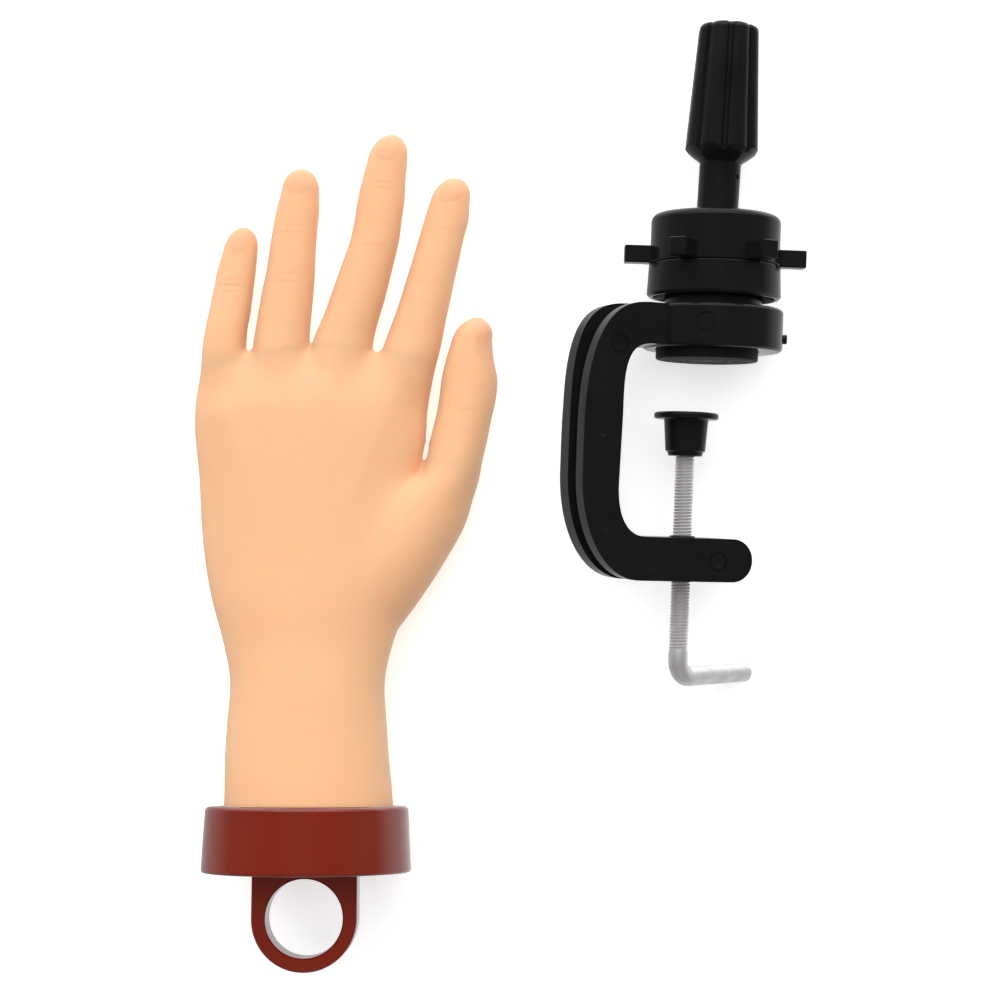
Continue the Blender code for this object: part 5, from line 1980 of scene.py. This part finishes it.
@dataclass
class SwivelHead(RigidAssembly):
    """The cup that turns on the frame and the ring that locks the ball."""

    bottom: float = 83.8
    cup_top: float = 92.7
    skirt: float = 1.4
    cup_radius: float = 21.0
    cup_top_radius: float = 20.6
    bolt_radius: float = 3.0
    hub_radius: float = 14.6
    neck_radius: float = 17.5
    neck_height: float = 8.0
    ball_seat: float = 8.5
    ring_bottom: float = 93.0
    ring_top: float = 108.5
    ring_radius: float = 20.3
    ring_bore: float = 17.8
    ring_rounding: float = 2.4
    mouth_radius: float = 13.0
    throat_radius: float = 9.8
    lug_count: int = 6
    lug_width: float = 5.5
    lug_tip: float = 28.5
    lug_centre: float = 95.6
    lug_sunk: float = 1.6

    def cup(self) -> Shape:
        """Turn the cup, hollow underneath between its wall and its hub.

        Returns:
            The cup.
        """
        hollow = self.bottom + 1.4
        skirt = self.bottom - self.skirt
        neck_top = self.cup_top + self.neck_height
        corners = [
            (self.bolt_radius, self.bottom, 0.0),
            (self.hub_radius, self.bottom, 0.3),
            (self.hub_radius, hollow, 0.0),
            (18.6, hollow, 0.0),
            (19.2, skirt, 0.3),
            (20.2, skirt, 0.4),
            (self.cup_radius, skirt + 0.9, 0.3),
            (self.cup_top_radius, self.cup_top, 0.35),
            (self.neck_radius, self.cup_top, 0.0),
            (self.neck_radius, neck_top, 0.0),
            (self.ball_seat, neck_top, 0.0),
            (self.ball_seat, self.cup_top - 3.0, 0.0),
            (self.bolt_radius, self.bottom + 3.0, 0.0),
        ]
        return turned(corners, 144, 4, closed=True)

    def ring(self) -> Shape:
        """Turn the lock ring and set its lugs round it.

        Returns:
            The ring.
        """
        shoulder = self.ring_bottom + 8.5
        corners = [
            (self.ring_bore, self.ring_bottom, 0.0),
            (self.ring_radius, self.ring_bottom, 0.35),
            (self.ring_radius, self.ring_top, self.ring_rounding),
            (self.mouth_radius, self.ring_top, 0.6),
            (self.throat_radius, self.ring_top - 2.7, 0.3),
            (self.throat_radius + 2.0, shoulder, 0.0),
            (self.ring_bore, shoulder, 0.0),
        ]
        roll = rolled(self.place)
        reach = self.lug_tip - self.ring_radius + self.lug_sunk
        size = Vector((reach, self.lug_width, self.lug_width))
        centre = Vector((self.lug_tip - reach / 2, self.lug_centre, 0.0))
        tools = []
        for index in range(self.lug_count):
            turn = Matrix.Rotation(TAU * index / self.lug_count - roll, 4, "Y")
            tools.append((Cut.ADD, moved(block(size, centre, 0.4), turn)))
        return combined(turned(corners, 144, 6, closed=True), tools)

    def pieces(self) -> Iterator[tuple[Fitting, Shape]]:
        """Give the cup and the lock ring."""
        yield Fitting("swivel_base", Body.CUP, Slot.BLACK, ("swivel_cup",)), self.cup()
        yield Fitting("locking_ring", Body.LOCK, Slot.BLACK, ("lock_ring",)), self.ring()


@dataclass
class FlutedCone(RigidAssembly):
    """The tapered cone with its eight lobes, on its round neck, and the pin across the neck."""

    ball_height: float = 99.2
    lean: float = 1.8
    neck_radius: float = 6.5
    neck_bottom: float = 108.8
    neck_top: float = 125.6
    base: float = 129.4
    top: float = 168.4
    base_radius: float = 11.7
    top_radius: float = 9.7
    top_rounding: Pair = (1.9, 2.0)
    lobes: int = 8
    lobe_depth: float = 0.8
    lobe_power: float = 1.3
    channel_depth: float = 0.9
    channel_width: float = 1.7
    channel_edge: float = 0.2
    pin_height: float = 120.6
    pin_radius: float = 0.85
    pin_gap: float = 0.05
    pin_turn: float = 57.0

    def groove(self, turn: float, radius: float) -> float:
        """Say how far the surface lies below the lobes' crest at a turn.

        Args:
            turn: The turn about the cone's axis.
            radius: Radius over the lobes.

        Returns:
            The depth in millimetres.
        """
        swell = 1.0 - abs(math.cos(self.lobes * turn / 2)) ** self.lobe_power
        step = math.pi / self.lobes
        aside = abs((turn % (2 * step)) - step) * radius
        inward = self.channel_width / 2 + self.channel_edge - aside
        channel = max(0.0, min(1.0, inward / (2 * self.channel_edge)))
        return self.lobe_depth * swell + self.channel_depth * channel

    def lobed(self, height: float, radius: float, share: float = 1.0) -> RingRule:
        """Give the rule for a ring of rounded lobes.

        Args:
            height: The ring's level.
            radius: Radius over the lobes.
            share: Share of the grooves' full depth.

        Returns:
            The point at each turn.
        """

        def point(turn: float) -> Vector:
            """The ring's point at a turn."""
            reach = radius - share * self.groove(turn, radius)
            return Vector((reach * math.cos(turn), height, reach * math.sin(turn)))

        return point

    def fluted(self) -> Shape:
        """Make the lobed cone with its rounded top, longer than it will be at its foot.

        Returns:
            The cone before its foot is trimmed.
        """
        inset, rise = self.top_rounding
        shoulder = self.top - rise
        rings = [self.lobed(self.base - 8.0, self.base_radius)]
        for share in np.linspace(0.0, 1.0, 9):
            radius = self.base_radius + (self.top_radius - self.base_radius) * share
            rings.append(self.lobed(self.base + (shoulder - self.base) * share, radius))
        for turn in np.linspace(0.0, math.pi / 2, 7)[1:]:
            inward = inset * (1 - math.cos(turn))
            height = shoulder + rise * math.sin(turn)
            shallow = 1.0 - 0.3 * math.sin(turn)
            rings.append(self.lobed(height, self.top_radius - inward, shallow))
        # The flat top, a little hollow, where the lobes run out
        rings.append(self.lobed(self.top - 0.1, self.top_radius - 3.2, 0.3))
        rings.append(self.lobed(self.top - 0.5, self.top_radius - 4.2, 0.0))
        return loft(self.lobes * 36, rings)

    def flare(self) -> Shape:
        """Turn the round form that trims the lobes' lower ends to a smooth underside.

        Returns:
            The form that the cone is kept within.
        """
        profile = [
            (0.0, self.neck_top - 1.0),
            (self.neck_radius - 0.2, self.neck_top - 1.0),
            (self.neck_radius + 0.6, self.neck_top),
            (self.neck_radius + 2.2, self.neck_top + 1.0),
            (self.neck_radius + 3.9, self.neck_top + 2.4),
            (self.base_radius - 0.1, self.base + 0.2),
            (self.base_radius + 1.2, self.base + 2.6),
            (self.base_radius + 1.2, self.top + 2.0),
            (0.0, self.top + 2.0),
        ]
        return lathe(profile, 144)

    def neck(self) -> Shape:
        """Turn the plain round neck.

        Returns:
            The neck, which reaches into the cone.
        """
        corners = [
            (0.0, self.neck_bottom, 0.0),
            (self.neck_radius, self.neck_bottom, 0.4),
            (self.neck_radius, self.neck_top + 1.0, 0.0),
            (0.0, self.neck_top + 1.0, 0.0),
        ]
        return turned(corners, 96)

    def across_neck(self, reach: float, radius: float) -> Shape:
        """Make a round bar across the neck, in the line of the pin.

        Args:
            reach: How far it reaches from the neck's axis to both sides.
            radius: Its radius.

        Returns:
            The bar.
        """
        middle = Vector((0.0, self.pin_height, 0.0))
        turn = math.radians(self.pin_turn)
        line = Vector((math.cos(turn), 0.0, math.sin(turn))) * reach
        return rod(middle - line, middle + line, radius, 32)

    def pieces(self) -> Iterator[tuple[Fitting, Shape]]:
        """Give the cone and its pin, both leaning about the ball."""
        at_ball = Matrix.Translation((0.0, self.ball_height, 0.0))
        lean = at_ball @ Matrix.Rotation(math.radians(-self.lean), 4, "Z") @ at_ball.inverted()
        hole = self.across_neck(self.neck_radius + 2.0, self.pin_radius + self.pin_gap)
        cone = combined(self.fluted(), [(Cut.WITHIN, self.flare()), (Cut.ADD, self.neck())])
        cone = combined(cone, [(Cut.AWAY, hole)])
        holder = Fitting("fluted_holder", Body.CONE, Slot.BLACK, ("fluted_cone",), 34.0)
        yield holder, moved(cone, lean)
        pin = self.across_neck(self.neck_radius - 0.5, self.pin_radius)
        yield Fitting("cross_pin", Body.CONE, Slot.DARK, ("neck_pin",)), moved(pin, lean)


@dataclass
class ClampScrew(RigidAssembly):
    """The threaded rod with its bent handle, and the foot on its end."""

    offset: float = 8.0
    radius: float = 3.05
    root_radius: float = 2.62
    pitch: float = 1.0
    thread_top: float = 41.0
    thread_bottom: float = -28.0
    thread_steps: int = 20
    handle_level: float = -36.5
    handle_length: float = 36.4
    bend: float = 5.5
    droop: float = 47.5
    foot_level: float = 32.7
    foot_height: float = 11.4
    foot_bore: float = 3.35
    bore_depth: float = 9.8
    flange_height: float = 2.2
    flange_radius: float = 10.1
    body_radius: float = 6.95
    bottom_radius: float = 5.75

    def thread(self) -> Shape:
        """Wind the fine thread, one ridge along the rod.

        Returns:
            The threaded rod.
        """
        shape = bmesh.new()
        # The ridge's radii at shares of the pitch
        ridge = (
            (self.root_radius, 0.0),
            (self.radius, 0.42),
            (self.radius, 0.56),
            (self.root_radius, 0.98),
            (self.root_radius, 1.0),
        )
        points = [
            shape.verts.new((radius, self.thread_bottom + share * self.pitch, 0.0))
            for radius, share in ridge
        ]
        lines = [shape.edges.new(pair) for pair in zip(points, points[1:])]
        turns = round((self.thread_top - self.thread_bottom) / self.pitch)
        bmesh.ops.spin(
            shape,
            geom=points + lines,
            cent=ORIGIN,
            axis=Y_AXIS,
            dvec=(0.0, self.pitch / self.thread_steps, 0.0),
            angle=TAU * turns,
            steps=turns * self.thread_steps,
            use_merge=False,
        )
        bmesh.ops.remove_doubles(shape, verts=shape.verts, dist=0.01)
        ends = [edge for edge in shape.edges if edge.is_boundary]
        bmesh.ops.holes_fill(shape, edges=ends, sides=0)
        wide = [face for face in shape.faces if len(face.verts) > 4]
        bmesh.ops.triangulate(shape, faces=wide)
        bmesh.ops.recalc_face_normals(shape, faces=shape.faces)
        return shape

    def handle(self) -> Shape:
        """Draw the plain rod below the thread and bend it into the handle.

        Returns:
            The rod and the handle.
        """
        shape = bmesh.new()
        thin = self.radius - self.root_radius + 0.1
        top = Matrix.Translation((0.0, self.thread_bottom + 1.4, 0.0)) @ UPRIGHT
        ring = bmesh.ops.create_circle(
            shape, cap_ends=False, segments=32, radius=self.root_radius - 0.1, matrix=top
        )["verts"]
        rim = list({edge for vert in ring for edge in vert.link_edges})
        beyond = math.radians(self.droop) - rolled(self.place)
        reach = Vector((math.cos(beyond), 0.0, -math.sin(beyond)))
        down = Vector((0.0, -1.0, 0.0))

        def further(edges: Edges, vec: Vector, grow: float = 0.0) -> Edges:
            """Extrude the rim.

            Args:
                edges: The rim.
                vec: How far it is drawn.
                grow: What its radius gains.

            Returns:
                The new rim.
            """
            made = bmesh.ops.extrude_edge_only(shape, edges=edges)["geom"]
            verts = [item for item in made if isinstance(item, bmesh.types.BMVert)]
            bmesh.ops.translate(shape, vec=vec, verts=verts)
            middle = sum((vert.co for vert in verts), Vector()) / len(verts)
            for vert in verts:
                vert.co += (vert.co - middle).normalized() * grow
            return [item for item in made if isinstance(item, bmesh.types.BMEdge)]

        rim = further(rim, down * 2.4, thin)
        bend_level = self.handle_level + self.bend
        rim = further(rim, down * (self.thread_bottom - 1.0 - bend_level))
        spun = bmesh.ops.spin(
            shape,
            geom=rim + list({vert for edge in rim for vert in edge.verts}),
            cent=Vector((0.0, bend_level, 0.0)) + reach * self.bend,
            axis=reach.cross(Vector(Y_AXIS)),
            angle=math.radians(90.0),
            steps=14,
            use_merge=False,
        )["geom_last"]
        rim = [item for item in spun if isinstance(item, bmesh.types.BMEdge)]
        rim = further(rim, reach * (self.handle_length - self.bend - 0.5))
        # Two short steps round the handle's end
        for length, grow in ((0.3, -0.2), (0.2, -0.4)):
            rim = further(rim, reach * length, grow)
        ends = [edge for edge in shape.edges if edge.is_boundary]
        bmesh.ops.holes_fill(shape, edges=ends, sides=0)
        bmesh.ops.recalc_face_normals(shape, faces=shape.faces)
        return shape

    def foot(self) -> Shape:
        """Turn the pressing foot with its stepped end and rounded flange.

        Returns:
            The foot.
        """
        bore_top = self.foot_level + self.bore_depth
        body_top = self.foot_level + self.foot_height
        face = body_top + self.flange_height
        corners = [
            (0.0, bore_top, 0.0),
            (self.foot_bore, bore_top, 0.0),
            (self.foot_bore, self.foot_level, 0.0),
            (self.bottom_radius - 0.5, self.foot_level, 0.4),
            (self.bottom_radius - 0.1, self.foot_level + 1.3, 0.2),
            (self.bottom_radius + 0.5, self.foot_level + 1.6, 0.3),
            (self.body_radius, body_top, 0.5),
            (self.flange_radius, body_top + 0.1, 0.8),
            (self.flange_radius, face, 0.9),
            (0.0, face, 0.0),
        ]
        return turned(corners, 96, 5)

    def pieces(self) -> Iterator[tuple[Fitting, Shape]]:
        """Give the screw with its handle, and the foot."""
        aside = Matrix.Translation((-self.offset, 0.0, 0.0))
        screw = Fitting("screw_and_handle", Body.SCREW, Slot.STEEL, ("clamp_screw",), 25.0)
        yield screw, moved(joined([self.thread(), self.handle()]), aside)
        foot = Fitting("pressing_foot", Body.FOOT, Slot.BLACK, ("screw_foot",))
        yield foot, moved(self.foot(), aside)


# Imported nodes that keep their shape, hidden inside the pieces, and the slots of their materials
DIGIT_WIRES = [body.value + "_wire" for body in (*(digit.body for digit in DIGITS), Body.THUMB)]
STEEL_NODES = (*DIGIT_WIRES, "palm_armature", "pivot_bolt", "pivot_nut", "foot_clip")
INNER_NODES = dict.fromkeys(STEEL_NODES, Slot.STEEL)
INNER_NODES.update(wrist_plug=Slot.CORE, ball_stem=Slot.BLACK)


def dress_inner_nodes(materials: Materials) -> None:
    """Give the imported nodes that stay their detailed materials.

    Args:
        materials: The material of each slot.
    """
    for name, slot in INNER_NODES.items():
        mesh = frame["nodes"][name].data
        mesh.materials.clear()
        mesh.materials.append(materials[slot])
        LOG.info("%s keeps its packed shape", name)


# The studio


@dataclass(frozen=True)
class Lamp:
    """A soft rectangular light: its place and size in metres, its power in watts."""

    name: str
    place: Triple
    size: Pair
    power: float
    mirrored: bool = True


LAMPS = (
    Lamp("far_light", (0.0, 1.25, 1.15), (2.2, 0.6), 4.2),
    Lamp("left_light", (-1.5, 0.1, 0.5), (0.25, 0.9), 0.4, mirrored=False),
    Lamp("near_light", (0.2, -1.4, 0.9), (1.2, 0.3), 0.8),
    Lamp("top_light", (-0.15, 0.38, 1.55), (1.2, 1.2), 15.5, mirrored=False),
)
WHITE = (1.0, 1.0, 1.0, 1.0)


@dataclass
class Studio:
    """Pale floor, soft lights and the camera straight above."""

    camera_height: float = 0.625
    focal_pixels: float = 1904.8
    image_pixels: float = 1002.0
    sensor: float = 36.0
    camera_over: Pair = (60.4, 95.1)
    floor_size: float = 6.0
    floor_drop: float = 0.0003
    floor_color: Triple = (0.9, 0.9, 0.9)
    floor_glow: float = 0.52
    # Strengths of the room's light: low sky, straight above, ground, and behind the object
    low_sky: float = 0.20
    high_sky: float = 0.12
    ground: float = 0.65
    far_wall: float = 1.6

    def camera(self) -> None:
        """Hang the camera over the middle of the picture."""
        data = bpy.data.cameras.new("camera")
        data.sensor_width = self.sensor
        data.lens = self.sensor * self.focal_pixels / self.image_pixels
        data.clip_start = 0.01
        item = bpy.data.objects.new("camera", data)
        origin = table_frame() @ Vector((*self.camera_over, 0.0))
        item.location = (origin.x, origin.y, self.camera_height)
        bpy.context.scene.collection.objects.link(item)
        bpy.context.scene.camera = item

    def floor(self) -> None:
        """Lay the pale floor."""
        shape = bmesh.new()
        bmesh.ops.create_grid(shape, x_segments=2, y_segments=2, size=self.floor_size / 2)
        surface = Surface("pale_floor")
        surface.even(
            {
                "Base Color": opaque(self.floor_color),
                "Roughness": 0.9,
                "Emission Color": WHITE,
                "Emission Strength": self.floor_glow,
            }
        )
        item = to_object("floor", shape)
        item.data.materials.append(surface.material)
        item.location = (0.0, 0.0, -self.floor_drop)
        item.visible_glossy = False

    def light(self, lamp: Lamp) -> None:
        """Hang a lamp that faces the object.

        Args:
            lamp: The lamp.
        """
        data = bpy.data.lights.new(lamp.name, "AREA")
        data.shape = "RECTANGLE"
        data.size, data.size_y = lamp.size
        data.energy = lamp.power
        item = bpy.data.objects.new(lamp.name, data)
        item.location = lamp.place
        item.rotation_mode = "QUATERNION"
        item.rotation_quaternion = (-Vector(lamp.place)).to_track_quat("-Z", "Y")
        item.visible_glossy = lamp.mirrored
        bpy.context.scene.collection.objects.link(item)

    def sky(self) -> None:
        """Light the room softly, less from straight above, and from below less on the left."""
        world = bpy.data.worlds.new("studio")
        world.use_nodes = True
        sheet = NodeSheet(world.node_tree)
        ray = sheet.add("TexCoord").outputs["Generated"]
        split = sheet.add("SeparateXYZ", {0: ray}).outputs
        sky = sheet.spread(split["Z"], (0.35, 0.85), (self.low_sky, self.high_sky))
        side = sheet.spread(split["X"], (-0.25, 0.35), (0.5, 1.0))
        depth = sheet.spread(split["Z"], (-0.35, 0.05), (self.ground, 0.0))
        wall = sheet.spread(split["Y"], (0.36, 0.8), (0.0, self.far_wall))
        strength = sheet.math("ADD", sky, sheet.math("MULTIPLY", side, depth))
        background = world.node_tree.nodes["Background"]
        background.inputs["Color"].default_value = WHITE
        sheet.tree.links.new(sheet.math("ADD", strength, wall), background.inputs["Strength"])
        bpy.context.scene.world = world

    def build(self) -> None:
        """Set up the whole studio."""
        self.floor()
        self.camera()
        for lamp in LAMPS:
            self.light(lamp)
        self.sky()
        bpy.context.scene.view_settings.view_transform = "Standard"


def main() -> None:
    """Build every sub-assembly in order, then the studio."""
    logging.basicConfig(level=logging.INFO, format="%(name)s: %(message)s")
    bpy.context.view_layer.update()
    materials = made_finishes()
    dress_inner_nodes(materials)
    for assembly in (HandSkin(), BaseCap(), JawFrame(), SwivelHead(), FlutedCone(), ClampScrew()):
        assembly.dress(materials)
    Studio().build()


if __name__ == "__main__":
    main()
